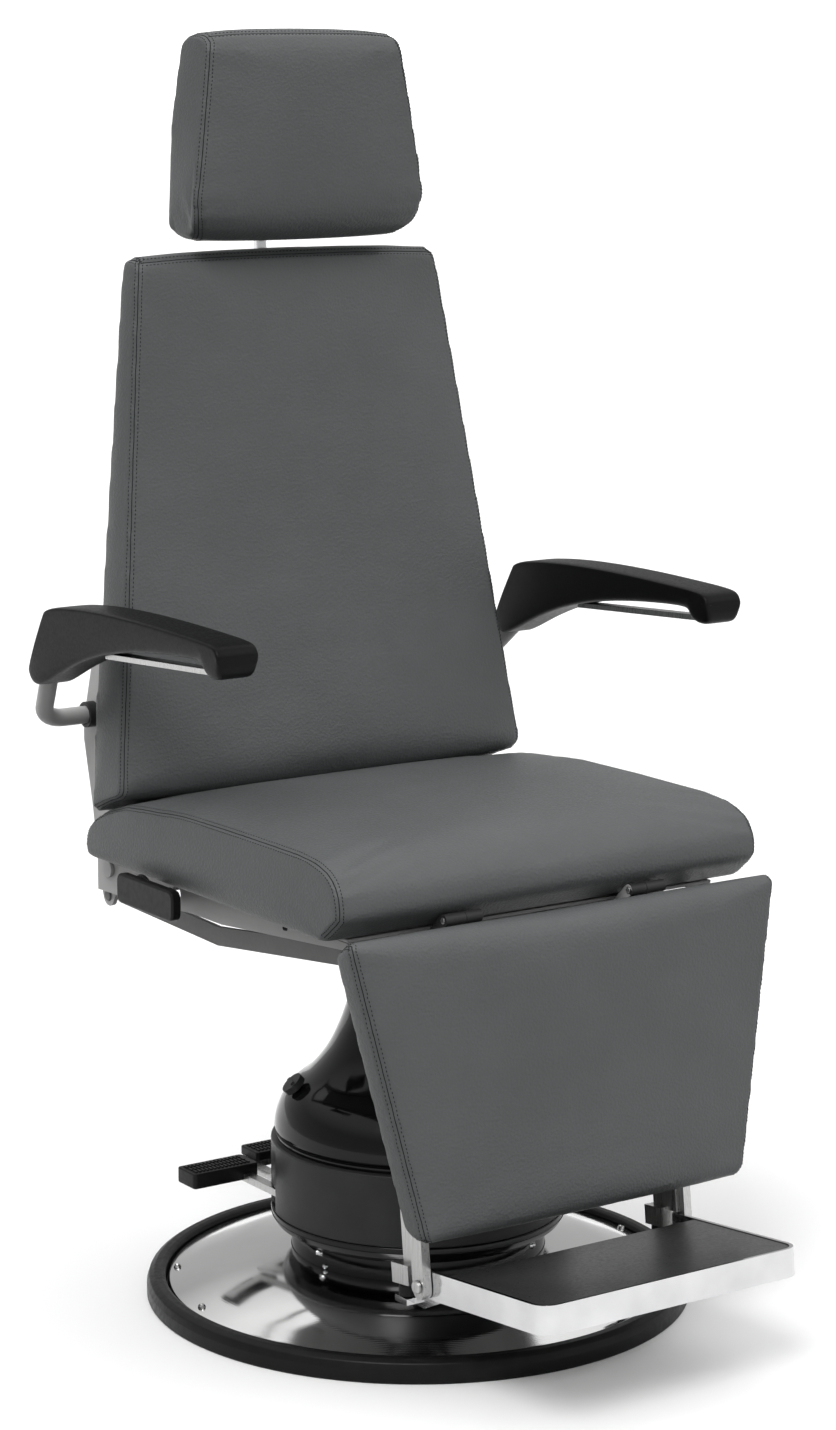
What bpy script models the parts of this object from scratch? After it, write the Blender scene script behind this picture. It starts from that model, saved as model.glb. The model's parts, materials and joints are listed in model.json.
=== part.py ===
"""Ear, nose and throat examination chair, in metres, facing -Y, column axis on Z, floor at zero."""
import bmesh
import bpy
from math import atan2, cos, hypot, pi, radians, sin, tan
from mathutils import Matrix, Vector

for leftover in list(bpy.data.objects):
    bpy.data.objects.remove(leftover, do_unlink=True)

# Clearances
FIT = 0.0003
RUN = 0.0005

# Base
BASE_RADIUS = 0.300
RING_WIDTH = 0.021
RING_HEIGHT = 0.026
PLATE_THICKNESS = 0.012
COVER_SHEET = 0.0018
COVER_TOP = 0.054
HUB_RADIUS = 0.140
HUB_TOP = 0.078
DRUM_RADIUS = 0.162
DRUM_TOP = 0.178
DRUM_WALL = 0.004
BELL_NECK = 0.0605
BELL_TOP = 0.372
BELL_WALL = 0.003
CYLINDER_RADIUS = 0.048
CYLINDER_TOP = 0.360
RAM_RADIUS = 0.040
RAM_FOOT = 0.060
ROUND = 32

# Pedals
PEDAL_LEVEL = 0.121
PEDAL_BAR = 0.008
PEDAL_WIDTH = 0.012
PEDAL_PIN = 0.005
PEDAL_PAD = 0.012

# Seat frame
PAN_LEVEL = 0.470
PAN_SHEET = 0.0035
PAN_FRONT = -0.215
PAN_REAR = 0.243
RAIL_HEIGHT = 0.0355
RAIL_INNER = 0.095
RAIL_OUTER = 0.125
RAIL_FRONT = -0.195
RAIL_REAR = 0.200
MOUNT_SHEET = 0.0085
HEAD_THICKNESS = 0.0095
BEARING_THICKNESS = 0.0105
FLANGE_THICKNESS = 0.008
SIDE_INNER = 0.2295
SIDE_SHEET = 0.004
SEAT_HALF = 0.267

# Pivots as (y, z)
BACK_PIVOT = (0.264, 0.456)
LEG_PIVOT = (-0.249, 0.487)
CRANK = (0.020, -0.036)
ARM_PIVOT = (0.310, 0.6225)
LEVER_PIVOT = (0.120, 0.455)
HEAD_PIVOT = (0.3145, 1.247)

# Back
BACK_PLATE_INNER = 0.2195
BACK_PLATE_SHEET = 0.005
BACK_FOOT = (0.248, 0.529)
BACK_HEAD = (0.287, 1.122)
BACK_BOARD = 0.008
BACK_HALF_LOW = 0.266
BACK_HALF_HIGH = 0.195
LINK_INNER = 0.2045
LINK_SHEET = 0.005
SHAFT_RADIUS = 0.006
POST_RADIUS = 0.0075

# Headrest
HEAD_HALF_LOW = 0.146
HEAD_HALF_HIGH = 0.122
HEAD_REAR = 0.281
HEAD_LEAN = radians(3.0)

# Armrests
ARM_CENTRE = 0.310
ARM_HALF = 0.022
ARM_TUBE = 0.010
ARM_ELBOW = 0.290

# Legrest, with its rear plane through LEG_TOP leaning by LEG_LEAN
LEG_TOP = (-0.241, 0.472)
LEG_LEAN = radians(6.56)
LEG_HALF_HIGH = 0.270
LEG_HALF_LOW = 0.203
LEG_LENGTH = 0.304
LEG_PAD = 0.0367
LEG_BOARD = 0.008
LEG_STRIP = 0.010
BAR_SHEET = 0.0098
BAR_DEPTH = 0.020
FOOT_DOWN = 0.362

# Footrest
FOOT_HALF = 0.1640
FOOT_WALL = 0.004
FOOT_HEIGHT = 0.030
FOOT_REACH = 0.203
FOOT_CORNER = 0.020
FOOT_LIFT = radians(5.6)
BAR_INNER = FOOT_HALF + 0.001
BAR_OUTER = BAR_INNER + BAR_SHEET

parts = bpy.data.collections.new("ent_chair")
cutters = bpy.data.collections.new("cutters")
bpy.context.scene.collection.children.link(parts)
bpy.context.scene.collection.children.link(cutters)


def material(name, colour, roughness, metallic):
    """Return a plain Principled material."""
    made = bpy.data.materials.new(name)
    made.use_nodes = True
    shader = made.node_tree.nodes["Principled BSDF"]
    shader.inputs["Base Color"].default_value = (*colour, 1.0)
    shader.inputs["Roughness"].default_value = roughness
    shader.inputs["Metallic"].default_value = metallic
    return made


RUBBER = material("black_rubber", (0.02, 0.02, 0.02), 0.7, 0.0)
STAINLESS = material("stainless_steel", (0.62, 0.62, 0.62), 0.25, 1.0)
BLACK_GLOSS = material("black_gloss_plastic", (0.012, 0.012, 0.013), 0.25, 0.0)
BLACK_SATIN = material("black_satin_plastic", (0.02, 0.02, 0.021), 0.5, 0.0)
GREY_PAINT = material("grey_painted_steel", (0.27, 0.27, 0.27), 0.45, 0.0)
STEEL = material("steel", (0.5, 0.5, 0.5), 0.35, 1.0)
CAST_IRON = material("cast_iron", (0.06, 0.06, 0.06), 0.6, 0.6)
LEATHER = material("grey_leatherette", (0.09, 0.095, 0.096), 0.5, 0.0)
LINING = material("black_lining", (0.025, 0.025, 0.026), 0.65, 0.0)
ALUMINIUM = material("polished_aluminium", (0.8, 0.8, 0.8), 0.12, 1.0)
FOAM = material("black_polyurethane", (0.015, 0.015, 0.016), 0.45, 0.0)


def pivot(name, y, z, x=0.0):
    """Return an empty that stands on a joint's axis."""
    made = bpy.data.objects.new(name, None)
    made.location = (x, y, z)
    parts.objects.link(made)
    return made


mirror_plane = pivot("mirror_plane", 0.0, 0.0)
axes = {
    "ram": pivot("lift_axis", 0.0, 0.0),
    "seat": pivot("swivel_axis", 0.0, PAN_LEVEL),
    "back": pivot("recline_axis", *BACK_PIVOT),
    "leg": pivot("legrest_axis", *LEG_PIVOT),
    "link": pivot("link_axis", BACK_PIVOT[0] + CRANK[0], BACK_PIVOT[1] + CRANK[1]),
    "arm_left": pivot("arm_left_axis", *ARM_PIVOT, -ARM_CENTRE),
    "arm_right": pivot("arm_right_axis", *ARM_PIVOT, ARM_CENTRE),
    "head": pivot("head_tilt_axis", *HEAD_PIVOT),
    "lever": pivot("release_axis", *LEVER_PIVOT, -SIDE_INNER),
}


def place(obj, look, body=None):
    """Put an object in the part's collection with its material and its joint's empty."""
    parts.objects.link(obj)
    obj.data.materials.append(look)
    if body:
        obj.parent = axes[body]
        obj.matrix_parent_inverse = Matrix.Translation(-axes[body].location)
    return obj


def from_bmesh(name, bm, look, body=None):
    """Make an object from a bmesh, with its faces turned out."""
    bmesh.ops.recalc_face_normals(bm, faces=bm.faces[:])
    mesh = bpy.data.meshes.new(name)
    bm.to_mesh(mesh)
    bm.free()
    return place(bpy.data.objects.new(name, mesh), look, body)


def add_box(bm, low, high):
    """Add a box between two corners."""
    size = Vector(high) - Vector(low)
    middle = (Vector(high) + Vector(low)) / 2.0
    bmesh.ops.create_cube(bm, size=1.0, matrix=Matrix.Translation(middle) @ Matrix.Diagonal((*size, 1.0)))


def add_rod(bm, start, end, radius, segments=16):
    """Add a round bar between two points."""
    along = Vector(end) - Vector(start)
    turn = along.to_track_quat("Z", "Y").to_matrix().to_4x4()
    seat = Matrix.Translation((Vector(start) + Vector(end)) / 2.0) @ turn
    bmesh.ops.create_cone(
        bm, cap_ends=True, segments=segments, radius1=radius, radius2=radius, depth=along.length,
        matrix=seat)


def add_prism(bm, outline, low, high):
    """Add a bar along X whose section is an outline of (y, z) points."""
    face = bm.faces.new([bm.verts.new((low, y, z)) for y, z in outline])
    grown = bmesh.ops.extrude_face_region(bm, geom=[face])["geom"]
    moved = [item for item in grown if isinstance(item, bmesh.types.BMVert)]
    bmesh.ops.translate(bm, vec=(high - low, 0.0, 0.0), verts=moved)


def mirrored(obj):
    """Repeat an object on the other side of the chair."""
    copy = obj.modifiers.new("other_side", "MIRROR")
    copy.use_axis = (True, False, False)
    copy.mirror_object = mirror_plane
    copy.use_mirror_merge = False
    return obj


def turned(name, profile, look, body=None, steps=ROUND, wall=0.0, seat=None):
    """Turn a profile of (radius, height) points about Z, as a solid or as a shell of one wall."""
    mesh = bpy.data.meshes.new(name)
    count = len(profile)
    closed = wall == 0.0 and profile[0][0] > 0.0
    edges = [(i, i + 1) for i in range(count - 1)]
    if closed:
        edges.append((count - 1, 0))
    mesh.from_pydata([(r, 0.0, z) for r, z in profile], edges, [])
    obj = place(bpy.data.objects.new(name, mesh), look, body)
    screw = obj.modifiers.new("turn", "SCREW")
    screw.axis = "Z"
    screw.steps = steps
    screw.render_steps = steps
    screw.use_merge_vertices = True
    screw.merge_threshold = 0.00005
    if wall:
        shell = obj.modifiers.new("wall", "SOLIDIFY")
        shell.thickness = wall
        shell.offset = -1.0
        shell.use_even_offset = True
    if seat:
        obj.matrix_basis = seat
    return obj


def circle(centre, radius, count=16):
    """Return the points of a circle."""
    return [(centre[0] + radius * cos(2 * pi * i / count), centre[1] + radius * sin(2 * pi * i / count))
            for i in range(count)]


def sheet(name, outline, holes, thickness, look, body=None):
    """Make a flat sheet in the curve's own plane, with holes."""
    curve = bpy.data.curves.new(name, "CURVE")
    curve.dimensions = "2D"
    curve.fill_mode = "BOTH"
    curve.extrude = thickness / 2.0
    for loop in [outline] + holes:
        spline = curve.splines.new("POLY")
        spline.points.add(len(loop) - 1)
        for point, (u, v) in zip(spline.points, loop):
            point.co = (u, v, 0.0, 1.0)
        spline.use_cyclic_u = True
    return place(bpy.data.objects.new(name, curve), look, body)


def plate(name, outline, holes, low, high, look, body=None):
    """Make an upright sheet whose outline is (y, z) points, between two X levels."""
    obj = sheet(name, outline, holes, abs(high - low), look, body)
    obj.location = ((low + high) / 2.0, 0.0, 0.0)
    obj.rotation_euler = (pi / 2.0, 0.0, pi / 2.0)
    return obj


def bevelled(obj, width, segments=2, angle=40.0):
    """Round an object's sharp edges."""
    edge = obj.modifiers.new("edges", "BEVEL")
    edge.width = width
    edge.segments = segments
    edge.limit_method = "ANGLE"
    edge.angle_limit = radians(angle)
    return obj


def cutter(name, bm):
    """Keep a bmesh as a hidden cutting or joining shape."""
    bmesh.ops.recalc_face_normals(bm, faces=bm.faces[:])
    mesh = bpy.data.meshes.new(name)
    bm.to_mesh(mesh)
    bm.free()
    obj = bpy.data.objects.new(name, mesh)
    obj.hide_render = True
    obj.display_type = "WIRE"
    cutters.objects.link(obj)
    return obj


def boolean(obj, other, operation):
    """Cut or join a hidden shape."""
    step = obj.modifiers.new(other.name, "BOOLEAN")
    step.operation = operation
    step.solver = "EXACT"
    step.object = other
    return obj


def as_mesh(obj):
    """Return the same piece as a mesh object with its caps welded, in place of its curve."""
    bpy.context.view_layer.update()
    graph = bpy.context.evaluated_depsgraph_get()
    flat = bpy.data.meshes.new_from_object(obj.evaluated_get(graph))
    flat.transform(obj.matrix_world)
    bm = bmesh.new()
    bm.from_mesh(flat)
    bmesh.ops.remove_doubles(bm, verts=bm.verts[:], dist=0.00001)
    bpy.data.objects.remove(obj, do_unlink=True)
    return bm


def inset(profile, amount, crown):
    """Move a closed (y, z, weight) profile inward by amount and outward by crown times weight."""
    count = len(profile)
    area = sum(profile[i][0] * profile[(i + 1) % count][1] - profile[(i + 1) % count][0] * profile[i][1]
               for i in range(count))
    side = 1.0 if area > 0.0 else -1.0
    moved = []
    for i, (y, z, weight) in enumerate(profile):
        before = profile[i - 1]
        after = profile[(i + 1) % count]
        dy = after[0] - before[0]
        dz = after[1] - before[1]
        length = hypot(dy, dz)
        shift = amount - crown * weight
        moved.append((y - side * dz / length * shift, z + side * dy / length * shift))
    return moved


def upholstery(name, profile, half, crown, corner, look, body, centre=0.0):
    """Skin a padded piece across X from its side profile, with rounded side edges and a crown."""
    steps = [(0.0, corner * 0.75, 0.0), (corner * 0.22, corner * 0.25, 0.0), (corner * 0.8, 0.0, 0.0)]
    inner = [(0.30, 0.65), (0.62, 0.92)]
    bm = bmesh.new()
    loops = []
    for sign in (-1.0, 1.0):
        made = []
        for depth, amount, lift in steps:
            ring = inset(profile, amount, lift)
            made.append([(sign * (half(z) - depth), y, z) for y, z in ring])
        for share, lift in inner:
            ring = inset(profile, 0.0, crown * lift)
            made.append([(sign * half(z) * (1.0 - share), y, z) for y, z in ring])
        loops.append(made)
    middle = [(0.0, y, z) for y, z in inset(profile, 0.0, crown)]
    chain = loops[0] + [middle] + loops[1][::-1]
    rings = [[bm.verts.new((x + centre, y, z)) for x, y, z in ring] for ring in chain]
    count = len(profile)
    for first, second in zip(rings, rings[1:]):
        for i in range(count):
            j = (i + 1) % count
            bm.faces.new((first[i], first[j], second[j], second[i]))
    bm.faces.new(rings[0])
    bm.faces.new(rings[-1][::-1])
    return from_bmesh(name, bm, look, body)


def between(z, low, high, value_low, value_high):
    """Return a value that runs straight between two levels and holds beyond them."""
    share = min(1.0, max(0.0, (z - low) / (high - low)))
    return value_low + (value_high - value_low) * share


# Base
ring_inner = BASE_RADIUS - RING_WIDTH
turned("base_plate", [(0.0, PLATE_THICKNESS), (ring_inner - FIT, PLATE_THICKNESS), (ring_inner - FIT, 0.0),
                      (0.0, 0.0)], CAST_IRON, steps=48)
turned("base_ring", [
    (ring_inner + 0.006, RING_HEIGHT), (BASE_RADIUS - 0.012, RING_HEIGHT),
    (BASE_RADIUS - 0.0035, RING_HEIGHT - 0.004),
    (BASE_RADIUS, RING_HEIGHT - 0.013), (BASE_RADIUS, 0.0), (ring_inner, 0.0),
    (ring_inner, RING_HEIGHT - 0.006)], RUBBER, steps=48)
cover_edge = ring_inner - RUN
cover_low = PLATE_THICKNESS + FIT
cover_hub = HUB_RADIUS + RUN
turned("base_cover", [
    (cover_hub, COVER_TOP), (cover_hub + 0.012, COVER_TOP - 0.001),
    ((cover_hub + cover_edge) / 2.0, COVER_TOP - 0.012),
    (cover_edge - 0.010, RING_HEIGHT - 0.004), (cover_edge - 0.002, RING_HEIGHT - 0.008),
    (cover_edge, RING_HEIGHT - 0.012), (cover_edge, cover_low)], STAINLESS, steps=48, wall=COVER_SHEET)

screw_radius = cover_edge - 0.012
screw_level = RING_HEIGHT - 0.0018
for number, angle in enumerate((146.0, 175.0, 326.0, 355.0), 1):
    spot = Vector((screw_radius * cos(radians(angle)), screw_radius * sin(radians(angle)), screw_level))
    bm = bmesh.new()
    add_rod(bm, spot, spot + Vector((0.0, 0.0, 0.0025)), 0.004, 12)
    from_bmesh("cover_screw_%d" % number, bm, STEEL)

bore = CYLINDER_RADIUS + 0.012
turned("hub_collar", [
    (bore, HUB_TOP), (HUB_RADIUS - 0.002, HUB_TOP), (HUB_RADIUS, HUB_TOP - 0.002), (HUB_RADIUS, cover_low),
    (bore, cover_low)], BLACK_GLOSS)
drum_foot = HUB_TOP + FIT
drum = turned("drum_housing", [
    (DRUM_RADIUS - 0.016, DRUM_TOP), (DRUM_RADIUS - 0.0035, DRUM_TOP), (DRUM_RADIUS, DRUM_TOP - 0.0035),
    (DRUM_RADIUS, drum_foot + 0.021), (DRUM_RADIUS - 0.0025, drum_foot + 0.018),
    (HUB_RADIUS + 0.010, drum_foot),
    (bore, drum_foot)], BLACK_SATIN, steps=40, wall=DRUM_WALL)

bell_foot = DRUM_TOP + FIT
bell_base = DRUM_RADIUS - 0.004
bell_shape = [
    (0.0, 1.0), (0.062, 0.922), (0.164, 0.788), (0.272, 0.638), (0.415, 0.494), (0.610, 0.370),
    (0.785, 0.300),
    (0.908, 0.222), (0.980, 0.132), (1.0, 0.045), (0.964, 0.027), (0.964, 0.0)]
bell = turned("bell_cover", [
    (BELL_NECK + share * (bell_base - BELL_NECK), bell_foot + level * (BELL_TOP - bell_foot))
    for share, level in bell_shape], BLACK_GLOSS, steps=40, wall=BELL_WALL)

ram_bore = RAM_RADIUS + RUN
turned("pump_cylinder", [
    (0.0, 0.030), (ram_bore, 0.030), (ram_bore, CYLINDER_TOP), (CYLINDER_RADIUS + 0.004, CYLINDER_TOP),
    (CYLINDER_RADIUS + 0.004, CYLINDER_TOP - 0.008), (CYLINDER_RADIUS, CYLINDER_TOP - 0.008),
    (CYLINDER_RADIUS, cover_low), (0.0, cover_low)], STEEL, steps=24)

# Pump block with the shaft that both pedals turn on
block_low = drum_foot + DRUM_WALL + FIT
block_side = -0.105
pedal_y = 0.030
outer_line = -0.1455
inner_line = -0.1200
side_near = DRUM_RADIUS - 0.042
rear_near = DRUM_RADIUS - 0.013
shaft_tip = outer_line - PEDAL_WIDTH / 2.0
bm = bmesh.new()
add_box(bm, (block_side, -0.005, block_low), (-0.057, 0.065, 0.150))
pump_block = from_bmesh("pump_block", bm, CAST_IRON)
bm = bmesh.new()
add_rod(bm, (block_side + 0.004, pedal_y, PEDAL_LEVEL), (shaft_tip, pedal_y, PEDAL_LEVEL), PEDAL_PIN)
boolean(pump_block, cutter("pedal_shaft", bm), "UNION")

arm_low = PEDAL_LEVEL - PEDAL_BAR / 2.0
arm_high = PEDAL_LEVEL + PEDAL_BAR / 2.0
window_low = arm_low - 0.016
window_high = arm_high + 0.003
slot = PEDAL_WIDTH / 2.0 + 0.002
pad_low = arm_high + FIT
pads = {
    "side": (outer_line, side_near + 0.009, (-0.215, side_near), (-0.132, side_near + 0.038)),
    "rear": (inner_line, rear_near + 0.006, (-0.116, rear_near), (-0.074, rear_near + 0.037)),
}
for side, (line, reach, low, high) in pads.items():
    axes["pedal_" + side] = pivot("pedal_%s_axis" % side, pedal_y, PEDAL_LEVEL, line)
    bm = bmesh.new()
    add_box(bm, (line - slot, pedal_y + 0.004, window_low), (line + slot, pedal_y + 0.110, window_high))
    boolean(drum, cutter("pedal_%s_window" % side, bm), "DIFFERENCE")
    bm = bmesh.new()
    add_box(bm, (line - PEDAL_WIDTH / 2.0, pedal_y, arm_low),
            (line + PEDAL_WIDTH / 2.0, high[1] - 0.004, arm_high))
    lever_arm = from_bmesh("pedal_arm_" + side, bm, STEEL, "pedal_" + side)
    bm = bmesh.new()
    add_box(bm, (min(low[0] + 0.008, line), reach, arm_low), (high[0] - 0.008, high[1] - 0.008, arm_high))
    boolean(lever_arm, cutter("pedal_%s_foot" % side, bm), "UNION")
    bm = bmesh.new()
    add_rod(bm, (line - PEDAL_WIDTH / 2.0, pedal_y, PEDAL_LEVEL),
            (line + PEDAL_WIDTH / 2.0, pedal_y, PEDAL_LEVEL),
            PEDAL_PIN + 0.004)
    boolean(lever_arm, cutter("pedal_%s_boss" % side, bm), "UNION")
    bm = bmesh.new()
    add_rod(bm, (line - 0.02, pedal_y, PEDAL_LEVEL), (line + 0.02, pedal_y, PEDAL_LEVEL), PEDAL_PIN + RUN)
    boolean(lever_arm, cutter("pedal_%s_eye" % side, bm), "DIFFERENCE")
    bm = bmesh.new()
    add_box(bm, (*low, pad_low), (*high, pad_low + PEDAL_PAD))
    upright = [edge for edge in bm.edges if abs(edge.verts[0].co.z - edge.verts[1].co.z) > 0.001]
    bmesh.ops.bevel(bm, geom=upright, offset=0.009, segments=3, affect="EDGES", profile=0.5)
    bevelled(from_bmesh("pedal_pad_" + side, bm, RUBBER, "pedal_" + side), 0.002, 1)

# Swivel lock knob, square to the bell's shoulder
knob_angle = radians(160.0)
knob_tilt = radians(47.0)
knob_out = Vector((cos(knob_tilt) * cos(knob_angle), cos(knob_tilt) * sin(knob_angle), sin(knob_tilt)))
knob_share = 0.308
knob_radius = BELL_NECK + 0.768 * (bell_base - BELL_NECK)
knob_seat = Vector((knob_radius * cos(knob_angle), knob_radius * sin(knob_angle),
                    bell_foot + knob_share * (BELL_TOP - bell_foot)))
axes["knob"] = pivot("lock_knob_axis", knob_seat.y, knob_seat.z, knob_seat.x)
bm = bmesh.new()
add_rod(bm, knob_seat - knob_out * 0.012, knob_seat + knob_out * 0.010, 0.0055 + RUN, 12)
boolean(bell, cutter("lock_knob_hole", bm), "DIFFERENCE")
bm = bmesh.new()
add_rod(bm, knob_seat + knob_out * 0.0028, knob_seat + knob_out * 0.0105, 0.013, 24)
knob = from_bmesh("swivel_lock_knob", bm, BLACK_SATIN, "knob")
bm = bmesh.new()
add_rod(bm, knob_seat - knob_out * 0.008, knob_seat + knob_out * 0.005, 0.0055, 12)
boolean(knob, cutter("lock_knob_stem", bm), "UNION")
bm = bmesh.new()
add_box(bm, (-0.0090, -0.0022, 0.0085), (0.0090, 0.0022, 0.0128))
knob_turn = Matrix.Translation(knob_seat) @ knob_out.to_track_quat("Z", "Y").to_matrix().to_4x4()
bmesh.ops.transform(bm, matrix=knob_turn, verts=bm.verts[:])
boolean(knob, cutter("lock_knob_grip", bm), "UNION")

# Ram and swivel
rail_low = PAN_LEVEL - FIT - RAIL_HEIGHT
mount_low = rail_low - FIT - MOUNT_SHEET
head_low = mount_low - FIT - HEAD_THICKNESS
bearing_low = head_low - FIT - BEARING_THICKNESS
ram_top = bearing_low - FIT
spigot = 0.0195
turned("ram", [
    (0.0, ram_top - 0.040), (spigot + RUN, ram_top - 0.040), (spigot + RUN, ram_top),
    (RAM_RADIUS + 0.020, ram_top),
    (RAM_RADIUS + 0.020, ram_top - FLANGE_THICKNESS), (RAM_RADIUS, ram_top - FLANGE_THICKNESS),
    (RAM_RADIUS, RAM_FOOT),
    (0.0, RAM_FOOT)], STAINLESS, "ram", steps=24)
turned("swivel_bearing", [
    (spigot + 0.010, bearing_low + BEARING_THICKNESS),
    (RAM_RADIUS + 0.018, bearing_low + BEARING_THICKNESS),
    (RAM_RADIUS + 0.018, bearing_low), (spigot + 0.010, bearing_low)], STEEL, "ram", steps=24)
turned("swivel_head", [
    (0.0, mount_low - FIT), (RAM_RADIUS + 0.026, mount_low - FIT), (RAM_RADIUS + 0.026, head_low),
    (spigot, head_low),
    (spigot, ram_top - 0.036), (0.0, ram_top - 0.036)], CAST_IRON, "seat", steps=24)

# Seat subframe: mount plate, rails and leg hinge knuckles welded together
bm = bmesh.new()
add_box(bm, (-0.150, -0.150, mount_low), (0.150, 0.150, mount_low + MOUNT_SHEET))
subframe = from_bmesh("seat_subframe", bm, GREY_PAINT, "seat")
bm = bmesh.new()
for sign in (-1.0, 1.0):
    low = min(sign * RAIL_INNER, sign * RAIL_OUTER)
    add_box(bm, (low, RAIL_FRONT, rail_low - 0.001),
            (low + RAIL_OUTER - RAIL_INNER, RAIL_REAR, rail_low + RAIL_HEIGHT))
boolean(subframe, cutter("seat_rails", bm), "UNION")
bm = bmesh.new()
add_box(bm, (-SIDE_INNER - SIDE_SHEET, PAN_FRONT, PAN_LEVEL),
        (SIDE_INNER + SIDE_SHEET, PAN_REAR, PAN_LEVEL + PAN_SHEET))
from_bmesh("seat_pan", bm, GREY_PAINT, "seat")

side_top = PAN_LEVEL - FIT
side_outline = [
    (0.292, 0.427), (0.292, side_top), (PAN_FRONT, side_top), (PAN_FRONT, side_top - 0.008), (0.028, 0.4396),
    (0.090, 0.4392), (0.240, 0.428)]
hinge_pin = 0.006
lever_shaft = 0.008
for side, sign in (("left", -1.0), ("right", 1.0)):
    holes = [circle(BACK_PIVOT, hinge_pin + RUN)]
    if sign < 0.0:
        holes.append(circle(LEVER_PIVOT, lever_shaft + RUN))
    plate("seat_side_plate_" + side, side_outline, holes, sign * SIDE_INNER,
          sign * (SIDE_INNER + SIDE_SHEET),
          GREY_PAINT, "seat")

seat_low = PAN_LEVEL + PAN_SHEET + FIT
seat_profile = [
    (0.250, seat_low, 0.0), (0.020, seat_low, 0.0), (-0.205, seat_low, 0.0),
    (-0.219, seat_low + 0.002, 0.0),
    (-0.246, 0.4975, 0.0), (-0.251, 0.507, 0.5), (-0.2485, 0.527, 1.0), (-0.236, 0.545, 1.0),
    (-0.212, 0.5555, 1.0),
    (-0.170, 0.5600, 1.0), (-0.050, 0.5605, 1.0), (0.050, 0.5590, 1.0), (0.120, 0.5530, 1.0),
    (0.170, 0.5480, 1.0),
    (0.215, 0.5340, 0.8), (0.247, 0.5175, 0.5), (0.2575, 0.5030, 0.3), (0.2605, 0.4900, 0.0),
    (0.258, 0.478, 0.0)]
upholstery("seat_cushion", seat_profile, lambda z: SEAT_HALF, 0.004, 0.009, LEATHER, "seat")

# Leg hinge: knuckles on the rails, leaves on the legrest, pins through both
knuckle = 0.0065
leg_pin = 0.0035
knuckle_outer = RAIL_INNER + 0.020
leaf_inner = knuckle_outer + RUN
leaf_outer = leaf_inner + 0.025
arm = [(RAIL_FRONT + 0.002, PAN_LEVEL - 0.030), (RAIL_FRONT + 0.002, PAN_LEVEL - 0.0045),
       (-0.2165, PAN_LEVEL - 0.0045)]
nose = [(LEG_PIVOT[0] + knuckle * cos(radians(a)), LEG_PIVOT[1] + knuckle * sin(radians(a)))
        for a in range(50, 256, 20)]
tail = [(-0.2235, PAN_LEVEL - 0.0135), (-0.2135, PAN_LEVEL - 0.030)]
bm = as_mesh(plate("knuckle", arm + nose + tail, [circle(LEG_PIVOT, leg_pin + RUN, 12)],
                   RAIL_INNER, knuckle_outer, GREY_PAINT))
boolean(subframe, mirrored(cutter("leg_hinge_knuckles", bm)), "UNION")
for side, sign in (("left", -1.0), ("right", 1.0)):
    bm = bmesh.new()
    add_rod(bm, (sign * (RAIL_INNER - 0.001), *LEG_PIVOT), (sign * (leaf_outer + 0.001), *LEG_PIVOT),
            leg_pin, 12)
    from_bmesh("leg_hinge_pin_" + side, bm, STEEL, "seat")

# Back hinge pins with heads outside the side plates
pin_head = SIDE_INNER + SIDE_SHEET + FIT
for side, sign in (("left", -1.0), ("right", 1.0)):
    turned("back_hinge_pin_" + side, [
        (0.0, pin_head + 0.004), (hinge_pin + 0.004, pin_head + 0.004), (hinge_pin + 0.004, pin_head),
        (hinge_pin, pin_head), (hinge_pin, BACK_PLATE_INNER - 0.003), (0.0, BACK_PLATE_INNER - 0.003)],
        STEEL, "seat", steps=16,
        seat=Matrix.Translation((0.0, *BACK_PIVOT)) @ Matrix.Rotation(sign * pi / 2.0, 4, "Y"))

# Gas spring: cylinder under the pan, rod with a fork over the link shaft
spring_radius = 0.011
spring_level = PAN_LEVEL - FIT - spring_radius
rod_radius = 0.004
link_rear = (BACK_PIVOT[0] + CRANK[0], BACK_PIVOT[1] + CRANK[1])
link_front = (LEG_PIVOT[0] + CRANK[0], LEG_PIVOT[1] + CRANK[1])
turned("gas_spring_cylinder", [
    (0.0, 0.010), (rod_radius + RUN, 0.010), (rod_radius + RUN, 0.200), (spring_radius, 0.200),
    (spring_radius, 0.0),
    (0.0, 0.0)], BLACK_SATIN, "seat", steps=16,
    seat=Matrix.Translation((0.0, -0.045, spring_level)) @ Matrix.Rotation(-pi / 2.0, 4, "X"))
jaw = SHAFT_RADIUS + 0.0025
fork_front = link_rear[0] - jaw - 0.006
fork_rear = link_rear[0] + jaw + 0.006
fork_low = link_rear[1] - 0.016
axes["rod"] = pivot("gas_rod_axis", fork_front, spring_level)
bm = bmesh.new()
add_prism(bm, [
    (fork_front, spring_level + 0.007), (fork_front, fork_low), (fork_front + 0.006, fork_low),
    (fork_front + 0.006, link_rear[1] + 0.0165), (fork_rear - 0.006, link_rear[1] + 0.0165),
    (fork_rear - 0.006, fork_low),
    (fork_rear, fork_low), (fork_rear, spring_level + 0.007)], -0.006, 0.006)
rod = from_bmesh("gas_spring_rod", bm, STEEL, "rod")
bm = bmesh.new()
add_rod(bm, (0.0, 0.060, spring_level), (0.0, fork_front + 0.004, spring_level), rod_radius, 12)
boolean(rod, cutter("gas_rod_shank", bm), "UNION")

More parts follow.
